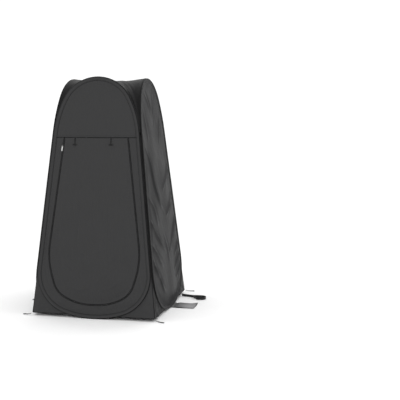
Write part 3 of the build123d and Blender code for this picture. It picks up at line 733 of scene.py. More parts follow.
def front_surround():
    """The band of cloth between the hoop and the zip, from the seam round the bottom to the seam."""
    rows, columns = 400, 22
    outer = spaced(hoop_half(PANEL_EDGE), 0.002)
    outer = outer[outer[:, 1] <= ZIP_TOP_V]
    outer[0, 1] = ZIP_TOP_V
    outer = np.vstack([outer, (outer * (-1, 1))[-2::-1]])
    at = np.linspace(0, 1, rows)

    def along(line):
        travel = travelled(line)
        return at_travel(line, travel, at * travel[-1])

    a, b = along(outer), along(zip_line(PANEL_TO_ZIP))
    share = np.linspace(0, 1, columns)[None, :, None]
    grid = (a[:, None] * (1 - share) + b[:, None] * share).reshape(-1, 2)
    s, v = grid[:, 0], grid[:, 1]
    rim, zip_rim = hoop_line(PANEL_EDGE, 0.008), zip_line(0.0)[::4]
    free = wall_field(s, v, rim, 0.022, 0.045) * wall_field(s, v, zip_rim, 0.012, 0.034)
    free = free * smooth((SEAM_V - v) / 0.03)
    w = WALL_W + free * (ripples(s, v, 81, 0.0030, (0.12, 0.34))
                         + ripples(s, v, 82, 0.0006, (0.03, 0.07), -0.4, 0.4) + 0.0014)
    w = w + rim_gathers(s, v, zip_rim, 83, 0.0016, 0.022, 0.05) * smooth((SEAM_V - v) / 0.05)
    w = w + rim_gathers(s, v, rim, 84, 0.0008) * smooth((SEAM_V - v) / 0.05)
    piece = cloth_piece("front_surround_cloth", FRONT, s, v, w, (rows, columns), FRONT_CLOTH_PAINTED_LIGHTER)
    settle(piece, "front_wall", "front_fabric", "front_door_surround")


def door_cloth():
    """The door, which hangs from the seam inside the zip."""
    rows, columns = 190, 92
    t = np.linspace(0.010, 1, rows)
    low = ZIP_POINTS[3][1] + PANEL_TO_ZIP
    v = low + (ZIP_TOP_V - 0.0008 - low) * t ** 1.35
    s, v = between_sides(v, zip_half_width(v) - PANEL_TO_ZIP, columns)
    zip_rim = zip_line(0.0)[::4]
    free = wall_field(s, v, zip_rim, 0.010, 0.050) * smooth((SEAM_V - 0.008 - v) / 0.07)
    rng = np.random.default_rng(91)
    strokes = []
    for i in range(13):
        top = -0.30 + 0.60 * (i + rng.uniform(0.2, 0.8)) / 13
        high = rng.uniform(0.75, 1.30)
        low_v = rng.uniform(0.16, 0.5)
        line = [(top * 0.8, high), (top * 0.95, (high + low_v) / 2), (top * rng.uniform(0.9, 1.25), low_v)]
        strokes.append((line, rng.uniform(0.0026, 0.0048), rng.uniform(0.011, 0.020)))
    strokes += [([(-0.10, 0.30), (-0.20, 0.42), (-0.31, 0.50)], 0.0050, 0.012),
                ([(0.02, 0.28), (0.16, 0.40), (0.30, 0.56)], 0.0048, 0.013),
                ([(-0.02, 0.24), (-0.12, 0.22), (-0.22, 0.26)], 0.0044, 0.012),
                ([(0.06, 0.22), (0.17, 0.26), (0.27, 0.36)], 0.0048, 0.012)]
    w = WALL_W + free * (creases(s, v, strokes) + ripples(s, v, 92, 0.0032, (0.20, 0.5))
                         + ripples(s, v, 93, 0.0006, (0.03, 0.06), -0.3, 0.3))
    w = w + rim_gathers(s, v, zip_rim, 94, 0.0017, 0.024, 0.07) * smooth((SEAM_V - v) / 0.05)
    piece = cloth_piece("door_cloth", FRONT, s, v, w, (rows, columns), FRONT_CLOTH_PAINTED_LIGHTER)
    seam = on_wall(FRONT, 0, SEAM_V, WALL_W)
    below = on_wall(FRONT, 0, SEAM_V - 0.016, WALL_W)
    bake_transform(piece)
    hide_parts("door_panel")


front_top()
front_surround()
door_cloth()


# ---------------------------------------------------------------- hoop sleeves
def sleeve(wall):
    """A fabric channel round the hoop wire: a black edge, a grey channel and its sewn margin. On the right,
    back and left walls the black also covers the channel and part of the margin, partly as painted shade.
    """
    name = WALL_NAMES[wall]
    line = hoop_line(0.0, SLEEVE_STEP)
    centre, across, up, _ = wall_frames(wall, line, WALL_W, closed=True)
    # the line runs clockwise, so the side that wall_frames gives is the outer one
    angles = np.radians(np.linspace(-138, 138, 13))
    tube = np.stack([SLEEVE_R * np.cos(angles), SLEEVE_R * np.sin(angles)], axis=1)
    margin = np.array([(-0.0092, 0.0031), (-0.0150, 0.0021), (-0.0205, 0.0011), (-0.0226, 0.0019),
                       (-0.0245, 0.0019), (-0.0266, 0.0017), (-0.0272, 0.0)])
    profile = np.vstack([tube, margin, (margin * (1, -1))[-2::-1]])
    n = len(line)
    travel = np.arange(n) * SLEEVE_STEP
    rng = np.random.default_rng(200 + wall)
    a, b, c, d = rng.uniform(0, 6.28, 4)
    turns = 2 * math.pi / (n * SLEEVE_STEP)
    slow = np.sin(turns * round(1 / (turns * 0.030)) * travel + a)
    quick = np.sin(turns * 211 * travel + b) * np.sin(turns * 13 * travel + c)
    pucker = 0.5 * slow + 0.5 * quick
    sections = np.repeat(profile[None], n, axis=0)
    flat = np.zeros(len(profile), bool)
    flat[len(tube):] = True
    sections[:, flat, 1] *= (1 + 0.30 * pucker)[:, None]
    tip = np.abs(profile[:, 0]) > 0.024
    sections[:, tip, 0] += (0.0007 * np.sin(turns * 157 * travel + d))[:, None]
    middle = (profile[:, 0] + np.roll(profile[:, 0], -1)) / 2
    # On the right, back and left walls the black runs over the whole tube and into the margin: partly the
    # real black edge, partly painted shade along the tube's shaded side.
    black_and_shade_from = 0.0 if wall == FRONT else -0.0150
    kinds = [1 if along > black_and_shade_from or along < -0.0250 else 0 for along in middle]
    # The front's sleeve takes the lighter painted tone and the other walls' sleeves take the darker painted
    # tone.
    cloth = FRONT_CLOTH_PAINTED_LIGHTER if wall == FRONT else WALL_CLOTH_PAINTED_DARKER
    piece = swept(f"{name}_sleeve_cloth", centre, across, up, sections, True, [cloth, BLACK_TAPE], kinds)
    settle(piece, f"{name}_wall", "sleeve_fabric", f"{name}_hoop_sleeve")
    inner = hoop_line(-0.0198, 0.010)
    for side, w in (("out", WALL_W + 0.0016), ("in", WALL_W - 0.0016)):
        row = stitch_row(f"{name}_sleeve_stitches_{side}", wall, inner, w, 0.0100, 0.0072, 0.00075, True)
        settle(row, f"{name}_wall", "binding_tape")


for each in range(4):
    sleeve(each)


# ---------------------------------------------------------------- corners
def corner_web(name, wall, side, body_a, body_b=None, nodes=()):
    """The folded tape with its piped edge that joins two walls. It starts on wall's given side."""
    other = (wall + side) % 4
    low, high_v = height_v(HEM_HEIGHT, 0), ROOF_CORNER_V - 0.019
    v = np.linspace(low, high_v, 150)
    hinge = on_wall(wall, side * hip(v), v, 0.0)
    e_a = along_wall(wall, -side * math.cos(SIDE), 0.0, 0.0)
    e_b = along_wall(other, side * math.cos(SIDE), 0.0, 0.0)
    w_a, w_b = along_wall(wall, 0, 0, 1.0), along_wall(other, 0, 0, 1.0)
    out = (w_a + w_b) / np.linalg.norm(w_a + w_b)
    r = PIPING_R

    def wing(e, w):
        """One wall's half of the section, from its sewn edge to beside the crest of the piping."""
        return [e * 0.0130 + w * 0.0018, e * 0.0100 + w * 0.0008, e * 0.0060 + w * 0.0006,
                e * 0.0030 + w * 0.0007, w * r * 0.8 + e * 0.0012, (w * 1.3 + out) / 2.3 * r]

    section = wing(e_a, w_a) + [out * r] + wing(e_b, w_b)[::-1]
    if not body_b:
        section = section[:BEAD_END]
    wave = 1 + 0.05 * np.sin(v * 95) + 0.04 * np.sin(v * 41 + 1)
    points = hinge[:, None] + np.array(section)[None] * wave[:, None, None]
    run = travelled(section)
    cloth = np.stack([np.broadcast_to(run, points.shape[:2]), np.broadcast_to(v[:, None], points.shape[:2]),
                      np.zeros(points.shape[:2])], axis=2)
    faces = grid_faces(len(v), len(section))
    if side < 0:
        faces = faces[:, ::-1]
    piece = mesh_object(name, points.reshape(-1, 3), faces, cloth.reshape(-1, 3), [BLACK_TAPE])
    thicken(piece, 0.0009, -1.0)
    across = e_b - e_a
    across = across / np.linalg.norm(across)
    if body_b:
        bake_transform(piece)
        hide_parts(*nodes)
    else:
        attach(piece, body_a)


corner_web("front_right_web", FRONT, 1, "front_wall", "right_wall", ["front_right_piping", "front_bindings"])
corner_web("front_left_web", FRONT, -1, "front_wall", "left_wall", ["front_left_piping", "left_binding"])
corner_web("back_right_web", RIGHT, 1, "right_wall", "back_wall", ["back_right_piping", "right_bindings",
                                                                  "back_binding"])
corner_web("back_left_edge", LEFT, -1, "left_wall")


def gusset(wall, side, corner):
    """A corner of cloth between the hoop's lower arc, the corner and the hem, with a bound hem."""
    name = WALL_NAMES[wall]
    rows, columns = 46, 40
    t = np.linspace(0, 1, rows) ** 1.25
    v = HEM_V + (0.345 - HEM_V) * t
    inner = hoop_half_width(v, 0.003)
    outer = hip(v) - 0.0026
    share = np.linspace(0, 1, columns)
    s = inner[:, None] * (1 - share[None]) + outer[:, None] * share[None]
    keep_v = np.repeat(v, columns)
    s = s.ravel()
    gap = hip(keep_v) - s
    w = 0.0016 + 0.0030 * smooth(gap / 0.045)
    room = np.maximum(outer - inner, 0.001)
    soft = smooth(np.minimum(gap, s - np.repeat(inner, columns)) / 0.03)
    soft = soft * np.repeat(smooth(room / 0.1), columns)
    seed = 300 + wall * 10 + (1 if side > 0 else 0)
    w = w + soft * (ripples(s, keep_v, seed, 0.0022, (0.06, 0.16))
                    + ripples(s, keep_v, seed + 5, 0.0006, (0.02, 0.04)))
    # The front's gussets take the lighter painted tone and the other walls' gussets take the darker painted
    # tone.
    cloth = FRONT_CLOTH_PAINTED_LIGHTER if wall == FRONT else WALL_CLOTH_PAINTED_DARKER
    piece = cloth_piece(f"{name}_gusset_cloth_{corner}", wall, s * side, keep_v, w, (rows, columns), cloth)
    if side < 0:
        piece.data.flip_normals()
    slot = "front_fabric" if wall == FRONT else "wall_fabric"
    settle(piece, f"{name}_wall", slot, f"{name}_wall_gusset_{corner}")
    edge = np.stack([s[:columns] * side, keep_v[:columns]], axis=1)
    edge_w = w[:columns]
    keep = s[:columns] > float(hoop_half_width(HEM_V, SLEEVE_R)) - 0.02
    edge, edge_w = edge[keep], edge_w[keep]
    centre, across, up, _ = wall_frames(wall, edge, edge_w)
    section = ring(8, 0.0030, 0.0013, 0.0014)
    if side < 0:
        section[:, 0] = -section[:, 0]
    hem = swept(f"{name}_gusset_hem_{corner}", centre, across, up, section, False, [BLACK_TAPE])
    settle(hem, f"{name}_wall", "binding_tape")


CORNERS = {FRONT: ("left", "right"), RIGHT: ("front", "back"), BACK: ("right", "left"),
           LEFT: ("back", "front")}
for each, names in CORNERS.items():
    for turn, corner_name in zip((-1, 1), names):
        gusset(each, turn, corner_name)


# ---------------------------------------------------------------- the roof
def arch_points(wall, across):
    """Points of the roof's edge on one wall; across runs from -1 to 1."""
    half = spaced(hoop_half(HOOP_INSET), 0.002)
    arch = half[half[:, 1] >= ROOF_CORNER_V - 0.010]
    travel = travelled(arch)
    at = np.abs(across) * ROOF_ARC
    s = np.sign(across) * np.interp(at, travel, arch[:, 0])
    v = np.interp(at, travel, arch[:, 1])
    return on_wall(wall, s, v, 0.0)


def roof():
    """The cloth between the four arches."""
    steps = 72
    at = np.linspace(-1, 1, steps + 1)
    a, b = np.meshgrid(at, at, indexing="ij")
    a, b = a.ravel(), b.ravel()
    front, back = arch_points(FRONT, a), arch_points(BACK, -a)
    right, left = arch_points(RIGHT, b), arch_points(LEFT, -b)
    front_back = np.where((b < 0)[:, None], front, back)
    left_right = np.where((a < 0)[:, None], left, right)
    corner = arch_points(FRONT, np.array([1.0]))[0]
    x = a * np.abs(left_right[:, 0]) + b * b * (front_back[:, 0] - a * corner[0])
    y = b * np.abs(front_back[:, 1]) + a * a * (left_right[:, 1] - b * corner[0])
    z = ROOF_CENTRE + (front_back[:, 2] - ROOF_CENTRE) * b * b + (left_right[:, 2] - ROOF_CENTRE) * a * a
    z = z - (corner[2] - ROOF_CENTRE) * a * a * b * b
    inside = np.minimum(1 - np.abs(a), 1 - np.abs(b))
    free = smooth(inside / 0.14)
    strokes = [([(-0.85, -0.80), (-0.5, -0.45), (-0.2, -0.16)], 0.005, 0.05),
               ([(0.86, -0.82), (0.55, -0.46), (0.2, -0.14)], 0.005, 0.05),
               ([(0.84, 0.80), (0.5, 0.5), (0.22, 0.2)], 0.005, 0.05),
               ([(-0.84, 0.82), (-0.52, 0.5), (-0.2, 0.2)], 0.005, 0.05),
               ([(-0.6, -0.9), (-0.35, -0.5), (-0.1, -0.2)], 0.0035, 0.04),
               ([(0.9, -0.6), (0.55, -0.3), (0.25, -0.1)], 0.0035, 0.04),
               ([(0.62, -0.9), (0.36, -0.5), (0.1, -0.25)], 0.0030, 0.04),
               ([(-0.9, 0.6), (-0.5, 0.33), (-0.2, 0.1)], 0.0030, 0.04)]
    z = z + free * (creases(a, b, strokes) + ripples(a, b, 401, 0.0022, (0.25, 0.7)))
    points = np.stack([x, y, z], axis=1).reshape(steps + 1, steps + 1, 3)
    cloth = np.stack([x, y, np.zeros(len(x))], axis=1).reshape(steps + 1, steps + 1, 3)
    # one more ring of points runs up under the sleeves
    wide = np.zeros((steps + 3, steps + 3, 3))
    wide[1:-1, 1:-1] = points
    cloth_wide = np.zeros_like(wide)
    cloth_wide[1:-1, 1:-1] = cloth
    inner = slice(1, -1)
    half = spaced(hoop_half(0.0056), 0.002)
    for wall, place, row in ((FRONT, (inner, 0), points[:, 0]), (BACK, (inner, -1), points[:, -1]),
                             (LEFT, (0, inner), points[0]), (RIGHT, (-1, inner), points[-1])):
        near = on_wall(wall, 0, 0, 0)
        local_s = (row - near) @ along_wall(wall, 1, 0, 0)
        local_v = (row - near) @ along_wall(wall, 0, 1, 0)
        flat = np.stack([np.abs(local_s), local_v], axis=1)
        k = np.linalg.norm(flat[:, None] - half[None], axis=2).argmin(1)
        edge = half[k]
        wide[place] = on_wall(wall, np.sign(local_s) * edge[:, 0], edge[:, 1], 0.0040)
    for i, j, x_at, y_at in ((0, 0, 1, 1), (0, -1, 1, -2), (-1, 0, -2, 1), (-1, -1, -2, -2)):
        near = wide[x_at, y_at]
        wide[i, j] = near + (wide[i, y_at] - near) * 0.5 + (wide[x_at, j] - near) * 0.5
    cloth_wide[0], cloth_wide[-1] = cloth_wide[1], cloth_wide[-2]
    cloth_wide[:, 0], cloth_wide[:, -1] = cloth_wide[:, 1], cloth_wide[:, -2]
    piece = mesh_object("roof_cloth_painted_shade", wide.reshape(-1, 3), grid_faces(steps + 3, steps + 3)[:, ::-1],
                        cloth_wide.reshape(-1, 3), [ROOF_CLOTH_PAINTED_SHADE])
    thicken(piece, CLOTH_THICK)
    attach(piece, "front_wall")
    tuple(along_wall(FRONT, 0, 0, 1.0))
    tuple(on_wall(FRONT, 0, 1.6, -0.003))
    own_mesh(piece)
    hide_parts("roof_panel")


roof()


# ---------------------------------------------------------------- the seam across the front
def seam_tape():
    """The band of tape over the seam, with a black piped edge below and two rows of stitches."""
    reach = float(hoop_half_width(SEAM_V + 0.013, -0.012))
    line = np.stack([np.linspace(-reach, reach, 120), np.full(120, SEAM_V + 0.013)], axis=1)
    centre, across, up, _ = wall_frames(FRONT, line, WALL_W + 0.0010)
    wave = 0.0003 * np.sin(np.linspace(0, 60, 120))
    section = np.array([(-0.0115, 0.0), (-0.0112, 0.0010), (-0.0098, 0.0014), (-0.0084, 0.0010),
                        (-0.0078, 0.0005), (0.0035, 0.0005), (0.0056, 0.0005), (0.0060, 0), (0.0056, -0.0005),
                        (-0.0112, -0.0005)])
    sections = np.repeat(section[None], 120, axis=0)
    sections[:, :, 0] += wave[:, None]
    piece = swept("front_seam_tape", centre, across, up, sections, False, [FRONT_CLOTH_PAINTED_LIGHTER, BLACK_TAPE],
                  [1, 1, 1, 1, 0, 0, 0, 0, 0, 1])
    settle(piece, "front_wall", "binding_tape", "front_seam_band")
    for k, above in enumerate((0.0072, 0.0168)):
        row = np.stack([np.linspace(-reach, reach, 120), np.full(120, SEAM_V + above)], axis=1)
        name = f"front_seam_stitches_{k}"
        stitches = stitch_row(name, FRONT, row, WALL_W + 0.0016, 0.0062, 0.0044, 0.00055)
        settle(stitches, "front_wall", "binding_tape")


seam_tape()


# ---------------------------------------------------------------- the zip
def zip_side(name, outward, body, top_v, coil_top_v):
    """One side of the zip: its tape, its row of coil and the stitches that hold the tape."""
    def frames(step, highest, w, between=False):
        line = spaced(zip_line(0.0), step)
        line = line[line[:, 1] <= highest]
        if between:
            line = (line[1:] + line[:-1]) / 2
        centre, across, up, ahead = wall_frames(FRONT, line, w)
        return centre, across * outward, up, ahead

    centre, across, up, _ = frames(0.008, top_v, 0.0)
    gap, width = 0.0004, 0.0072
    section = np.array([(gap, TAPE_LOW - 0.0001), (gap, TAPE_HIGH), (0.0040, TAPE_HIGH + 0.0001),
                        (0.0046, TAPE_HIGH + 0.0003), (0.0052, TAPE_HIGH), (width - 0.0010, TAPE_HIGH),
                        (width, TAPE_HIGH - 0.0003), (width, TAPE_LOW - 0.0001)])
    tape = swept(f"{name}_tape", centre, across, up, section, False, [ZIP_TAPE])
    settle(tape, body, "zip_tape", f"{name}_tape")
    points, faces = bead(0.0040, 0.00045, 4, sunk=0.0004)
    centre, across, up, ahead = frames(0.0058, top_v - 0.002, TAPE_HIGH + 0.0001)
    row = centre + across * 0.0058
    stitches = scattered(f"{name}_tape_stitches_0", row, ahead, across, up, points, faces, THREAD)
    settle(stitches, body, "zip_tape")
    points, faces = bead(0.0027, 0.00082, 6, along=1, sunk=0.0003, ends=0.55)
    centre, across, up, ahead = frames(0.0021, coil_top_v, TAPE_HIGH + 0.0009, outward < 0)
    row = centre + across * 0.0015
    coil = scattered(f"{name}_coil_teeth", row, ahead, across, up, points, faces, COIL)
    settle(coil, body, "zip_coil", f"{name}_coil")


zip_side("surround_zip", 1, "front_wall", ZIP_TOP_V, ZIP_STOP_V)
zip_side("door_zip", -1, "door", SEAM_V - 0.003, SEAM_V - 0.004)


# ---------------------------------------------------------------- toggles
def patch(name, s, v, half_s, half_v, w_low, w_high):
    """A small folded patch with soft edges."""
    count = 24
    a = np.linspace(0, 2 * math.pi, count, endpoint=False)
    power = 0.32
    edge = np.stack([half_s * np.sign(np.cos(a)) * np.abs(np.cos(a)) ** power,
                     half_v * np.sign(np.sin(a)) * np.abs(np.sin(a)) ** power], axis=1)
    levels = [(1.0, w_low), (1.0, w_high - 0.0005), (0.94, w_high - 0.0001), (0.80, w_high),
              (0.4, w_high - 0.0001)]
    points, cloth = [], []
    for scale, w in levels:
        points.append(on_wall(FRONT, s + edge[:, 0] * scale, v + edge[:, 1] * scale, w))
        cloth.append(np.column_stack([edge * scale, np.zeros(count)]))
    faces = []
    for r in range(len(levels) - 1):
        for k in range(count):
            l = (k + 1) % count
            faces.append((r * count + k, r * count + l, (r + 1) * count + l, (r + 1) * count + k))
    faces.append(tuple(range(count))[::-1])
    faces.append(tuple((len(levels) - 1) * count + k for k in range(count)))
    return mesh_object(name, np.vstack(points), faces, np.vstack(cloth), [BLACK_TAPE])


def toggle(side):
    """A toggle's patch and its cord, which hangs straight down to the bar."""
    s = TOGGLE_S[side]
    tab = patch(f"toggle_patch_{side}", s, PIVOT_V - 0.004, 0.0045, 0.005, TAPE_LOW, TOGGLE_W - 0.0018)
    settle(tab, "door", "binding_tape", f"toggle_anchor_{side}")
    left, right, low, high = s - 0.0032, s + 0.0032, PIVOT_V - 0.0075, PIVOT_V - 0.0005
    box = np.array([(left, low), (right, low), (right, high), (left, high), (left, low)])
    row = stitch_row(f"toggle_patch_stitches_{side}", FRONT, box, TOGGLE_W - 0.0018, 0.0022, 0.0016, 0.0003)
    settle(row, "door", "binding_tape")
    curve = bpy.data.curves.new(f"toggle_tether_{side}", "CURVE")
    curve.dimensions = "3D"
    spline = curve.splines.new("NURBS")
    bend = 0.0006 if side == "left" else -0.0006
    shares = (0.0, 0.18, 0.40, 0.62, 0.82, 1.0)
    wobble = (0.0, 0.0, bend, -bend, bend * 0.6, 0.0)
    spline.points.add(len(shares) - 1)
    for point, share, off in zip(spline.points, shares, wobble):
        place = on_wall(FRONT, s + off, PIVOT_V - TOGGLE_CORD * share, TOGGLE_W)
        point.co = (*place, 1.0)
    spline.order_u = 3
    spline.use_endpoint_u = True
    curve.bevel_depth = 0.0021
    curve.bevel_resolution = 4
    curve.use_fill_caps = True
    curve.materials.append(ELASTIC_PLAIN)
    tether = placed(f"toggle_tether_{side}", curve)
    settle(tether, f"{side}_toggle", "elastic_cord", f"toggle_cord_{side}")
    tuple(on_wall(FRONT, s, PIVOT_V, TOGGLE_W))


for each in TOGGLE_S:
    toggle(each)


# ---------------------------------------------------------------- what lies on the floor
def flap(side, name):
    """A ground flap: a light coated sheet with a bound edge, sewn to the foot of a wall."""
    low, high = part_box(f"{name}_ground_flap")
    start = abs(low.x if side > 0 else high.x)
    end = abs(high.x if side > 0 else low.x)
    hinge_rows, rows, columns = 9, 70, 64
    x = np.concatenate([np.linspace(-0.0030, 0.012, hinge_rows + 1)[:-1],
                        np.linspace(0.012, end - start, rows - hinge_rows)])
    y = np.linspace(FLAP_Y[0], FLAP_Y[1], columns)
    gx, gy = [g.ravel() for g in np.meshgrid(x, y, indexing="ij")]
    length = end - start
    lift = 0.0060 * (1 - smooth((gx + 0.003) / 0.012))
    seed = 501 if side > 0 else 511
    free = smooth(gx / 0.05)
    wave = 0.0016 * (1 + np.sin(gx * 31 + gy * 9)) + 0.0014 * (1 + np.sin(gy * 44 + gx * 12 + 1))
    wave = wave + np.abs(ripples(gx, gy, seed, 0.0004, (0.02, 0.05)))
    corner = smooth((gx - length * 0.72) / (length * 0.28)) * smooth((gy - 0.02) / 0.12)
    z = 0.0009 + lift + wave * free + 0.0060 * corner
    skew = 0.008 * free * np.sin(gy * 12)
    points = np.stack([side * (start + gx - 0.006 * free * smooth(gx / length) + skew * 0.3), gy, z], axis=1)
    faces = grid_faces(len(x), columns)
    if side < 0:
        faces = faces[:, ::-1]
    cloth = np.stack([gx, gy, np.zeros(len(gx))], axis=1)
    # The flap's material paints shade, darker near the wall and lighter towards the outer end.
    piece = mesh_object(f"{name}_flap_cloth", points, faces, cloth, [FLAP_CLOTH_PAINTED_SHADE])
    thicken(piece, 0.0007)
    body = f"{name}_flap"
    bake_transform(piece)
    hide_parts(f"{name}_ground_flap")
    grid = points.reshape(len(x), columns, 3)
    rim = np.vstack([grid[10:, 0], grid[-1, 1:], grid[-2:9:-1, -1]])
    rim = spaced(rim, 0.004)
    run = tangents(rim)
    up = np.broadcast_to(np.array([0.0, 0.0, 1.0]), rim.shape)
    inward = np.cross(up, run) * side
    section = ring(8, 0.0030, 0.0009, 0.0018)[::side]
    bound = swept(f"{name}_flap_binding", rim, inward, up, section, False, [BLACK_TAPE])
    settle(bound, body, "binding_tape")


flap(1, "right")
flap(-1, "left")


def webbing_section(thick, width):
    """A flat woven band's section: (through, along its width), with rounded edges."""
    t, h = thick / 2, width / 2
    side = [(t, -h + 0.0012), (t * 1.08, -h / 2), (t, 0), (t * 1.08, h / 2), (t, h - 0.0012)]
    return np.array(side + [(t * 0.5, h)] + [(-a, -b) for a, b in side] + [(-t * 0.5, -h)])


def strap():
    """The folding strap: a band of webbing on its edge, doubled at its neck and open in a loop."""
    radius = STRAP_LOOP_R - STRAP_THICK / 2
    centre = np.array([STRAP_END - STRAP_LOOP_R, STRAP_Y - STRAP_LOOP_DROP])
    neck = np.array([STRAP_NECK_END, STRAP_Y])
    gap = np.linalg.norm(centre - neck)
    heading = math.atan2(*(centre - neck)[::-1])
    open_angle = math.acos(radius / gap)
    first, last = heading + math.pi - open_angle, heading + math.pi + open_angle
    circle = arc(centre, radius, first, last - 2 * math.pi, 70)
    upper = np.array([(STRAP_START + 0.001, STRAP_Y + 0.0009), (neck[0], STRAP_Y + 0.0009)])
    lower = np.array([(neck[0], STRAP_Y - 0.0009), (STRAP_START + 0.001, STRAP_Y - 0.0009)])
    line = eased(spaced(np.vstack([upper, circle, lower]), 0.003), 3)
    run = tangents(line)
    travel = np.arange(len(line)) * 0.003
    free = smooth((line[:, 0] - STRAP_NECK_END) / 0.05)
    turn = math.radians(STRAP_TURN)
    spin = np.array([[math.cos(turn), -math.sin(turn)], [math.sin(turn), math.cos(turn)]])
    hub = np.array([STRAP_START, STRAP_Y])
    line, run = (line - hub) @ spin.T + hub, run @ spin.T
    flat = np.column_stack([line, np.zeros(len(line))])
    normal = np.column_stack([-run[:, 1], run[:, 0], np.zeros(len(line))])
    tilt = 0.10 * free * np.sin(travel * 14)
    up = np.column_stack([normal[:, 0] * np.sin(tilt), normal[:, 1] * np.sin(tilt), np.cos(tilt)])
    across = np.column_stack([normal[:, 0] * np.cos(tilt), normal[:, 1] * np.cos(tilt), -np.sin(tilt)])
    flat[:, 2] = 0.0003 + STRAP_WIDTH / 2 + 0.0006 * free * (1 + np.sin(travel * 23))
    section = webbing_section(STRAP_THICK, STRAP_WIDTH - 0.0006)
    piece = swept("folding_strap_webbing", flat, across, up, section, False, [WEBBING])
    settle(piece, "strap", "webbing", "folding_strap")
    points, faces = bead(0.0045, 0.0005, 4, sunk=0.0005)
    where = np.array([(STRAP_NECK_END - x, STRAP_Y - 0.00175, 0.004 + k * 0.0048)
                      for x in (0.004, 0.016, 0.028) for k in range(4)])
    where[:, :2] = (where[:, :2] - hub) @ spin.T + hub
    n = len(where)
    ahead, side, out = [np.tile(way, (n, 1)) for way in ((0.0, 0, 1), (*spin[:, 0], 0), (*-spin[:, 1], 0))]
    rows = scattered("folding_strap_stitches", where, ahead, side, out, points, faces, THREAD)
    settle(rows, "strap", "webbing")


strap()


def peg_loop(name):
    """A loop of elastic from a corner's hem down to the floor, with a sewn neck and an open eye."""
    x_side, y_side, length, turn = PEG_LOOPS[name]
    middle = PEG_EYE_R - PEG_BAND / 2
    eye = np.array([length - PEG_EYE_R, 0.0])
    neck_half = 0.0016
    lean = math.asin((middle - neck_half) / (eye[0] - 0.35 * length))
    straight = [(0.001, neck_half), (0.35 * length, neck_half)]
    round_eye = arc(eye, middle, math.pi / 2 + lean, -math.pi / 2 - lean, 40)
    line = np.vstack([straight, round_eye, [(x, -y) for x, y in straight[::-1]]])
    line = eased(spaced(line, 0.0022), 4)
    tilt, a = math.radians(PEG_TILT), math.radians(turn)
    reach = length * math.cos(tilt)
    rise = (length - line[:, 0]) * math.sin(tilt) + 0.00175
    sag = -0.0025 * np.sin(math.pi * np.clip(line[:, 0] / length, 0, 1))
    flat_x = reach - (length - line[:, 0]) * math.cos(tilt)
    x = PEG_CORNER * x_side + flat_x * math.cos(a) - line[:, 1] * math.sin(a)
    y = PEG_CORNER * y_side + flat_x * math.sin(a) + line[:, 1] * math.cos(a)
    z = np.maximum(rise + sag, 0.0021) + 0.0003
    centre = np.column_stack([x, y, z])
    run = tangents(centre)
    across = np.cross(np.broadcast_to((0.0, 0.0, 1.0), run.shape), run)
    across = across / np.linalg.norm(across, axis=1)[:, None]
    up = np.cross(run, across)
    sections = np.repeat(ring(10, 0.0021, 0.0020)[None], len(line), axis=0)
    sections = sections * (1 + 0.06 * np.sin(np.arange(len(line)) * 1.9))[:, None, None]
    piece = swept(f"{name}_peg_elastic", centre, across, up, sections, False, [ELASTIC])
    wall = "front_wall" if y_side < 0 else {1: "right_wall", -1: "left_wall"}[x_side]
    settle(piece, wall, "elastic_cord", f"{name}_peg_loop")


for each in PEG_LOOPS:
    peg_loop(each)


# ---------------------------------------------------------------- the pieces that stay as they are
KEPT = {"zip_slider": LACQUER, "zip_top_stop": LACQUER, "zip_end_stop": LACQUER, "zip_pull_outside": SATIN,
        "zip_pull_inside": SATIN, "toggle_bar_left": PLASTIC, "toggle_bar_right": PLASTIC,
        "tie_loop_left": ELASTIC_PLAIN, "tie_loop_right": ELASTIC_PLAIN}
for each in WALL_NAMES:
    KEPT[f"{each}_hoop_wire"] = SPRING
    KEPT[f"{each}_hoop_ferrule"] = CRIMPED
for each, look in KEPT.items():
    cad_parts[each].data.materials.clear()
    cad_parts[each].data.materials.append(look)


# ---------------------------------------------------------------- floor, light and camera
FLOOR_HALF = 14.0
CAMERA_PLACE = (1.9654, -5.7642, 1.5318)
CAMERA_YAW, CAMERA_PITCH, CAMERA_LENS = 0.20634, -0.10598, 64.75


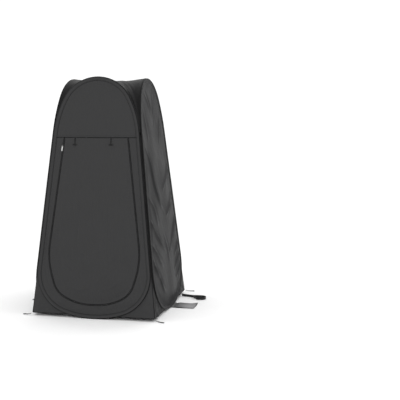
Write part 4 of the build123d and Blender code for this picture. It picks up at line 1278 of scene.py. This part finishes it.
def studio():
    """A plain pale floor, a white sky, soft lights and the camera."""
    size = FLOOR_HALF
    mesh = bpy.data.meshes.new("studio_floor")
    corners = [(-size, -size, 0), (size, -size, 0), (size, size, 0), (-size, size, 0)]
    mesh.from_pydata(corners, [], [(0, 1, 2, 3)])
    floor = placed("studio_floor", mesh)
    material, tree, bsdf = new_material("pale_floor")
    vector = coordinates(tree, False)
    tinted(tree, bsdf, (0.93, 0.93, 0.93), [(noise(tree, vector, 2.0, 3.0), 0.01)])
    bsdf.inputs["Roughness"].default_value = 0.9
    bsdf.inputs["Specular IOR Level"].default_value = 0.1
    mesh.materials.append(material)
    world = bpy.data.worlds.new("studio_world")
    bpy.context.scene.world = world
    world.use_nodes = True
    world.node_tree.nodes["Background"].inputs["Color"].default_value = (1, 1, 1, 1)
    world.node_tree.nodes["Background"].inputs["Strength"].default_value = 1.1
    for name, place, target, energy, width in (
            ("key_light", (1.4, -4.6, 2.6), (0, 0, 1.0), 34.0, 2.0),
            ("side_light", (3.6, -0.6, 4.2), (0.4, 0, 0.8), 16.0, 0.7),
            ("fold_light", (4.0, 3.2, 2.3), (0.4, 0, 0.9), 14.0, 0.6),
            ("top_light", (0.3, 0.6, 4.6), (0, 0, 1.8), 14.0, 1.0),
            ("left_light", (-3.6, 1.6, 3.4), (0, 0, 1.0), 14.0, 0.9)):
        light = bpy.data.lights.new(name, "AREA")
        light.energy = energy
        light.size = width
        lamp = placed(name, light)
        lamp.location = place
        lamp.rotation_euler = (Vector(target) - Vector(place)).to_track_quat("-Z", "Y").to_euler()
    bpy.context.scene.view_settings.view_transform = "Standard"
    camera = bpy.data.cameras.new("camera")
    camera.lens = CAMERA_LENS
    camera.sensor_width = 36.0
    eye = placed("camera", camera)
    eye.location = CAMERA_PLACE
    level = math.cos(CAMERA_PITCH)
    look = Vector((-math.sin(CAMERA_YAW) * level, math.cos(CAMERA_YAW) * level, math.sin(CAMERA_PITCH)))
    eye.rotation_euler = look.to_track_quat("-Z", "Y").to_euler()
    bpy.context.scene.camera = eye


studio()
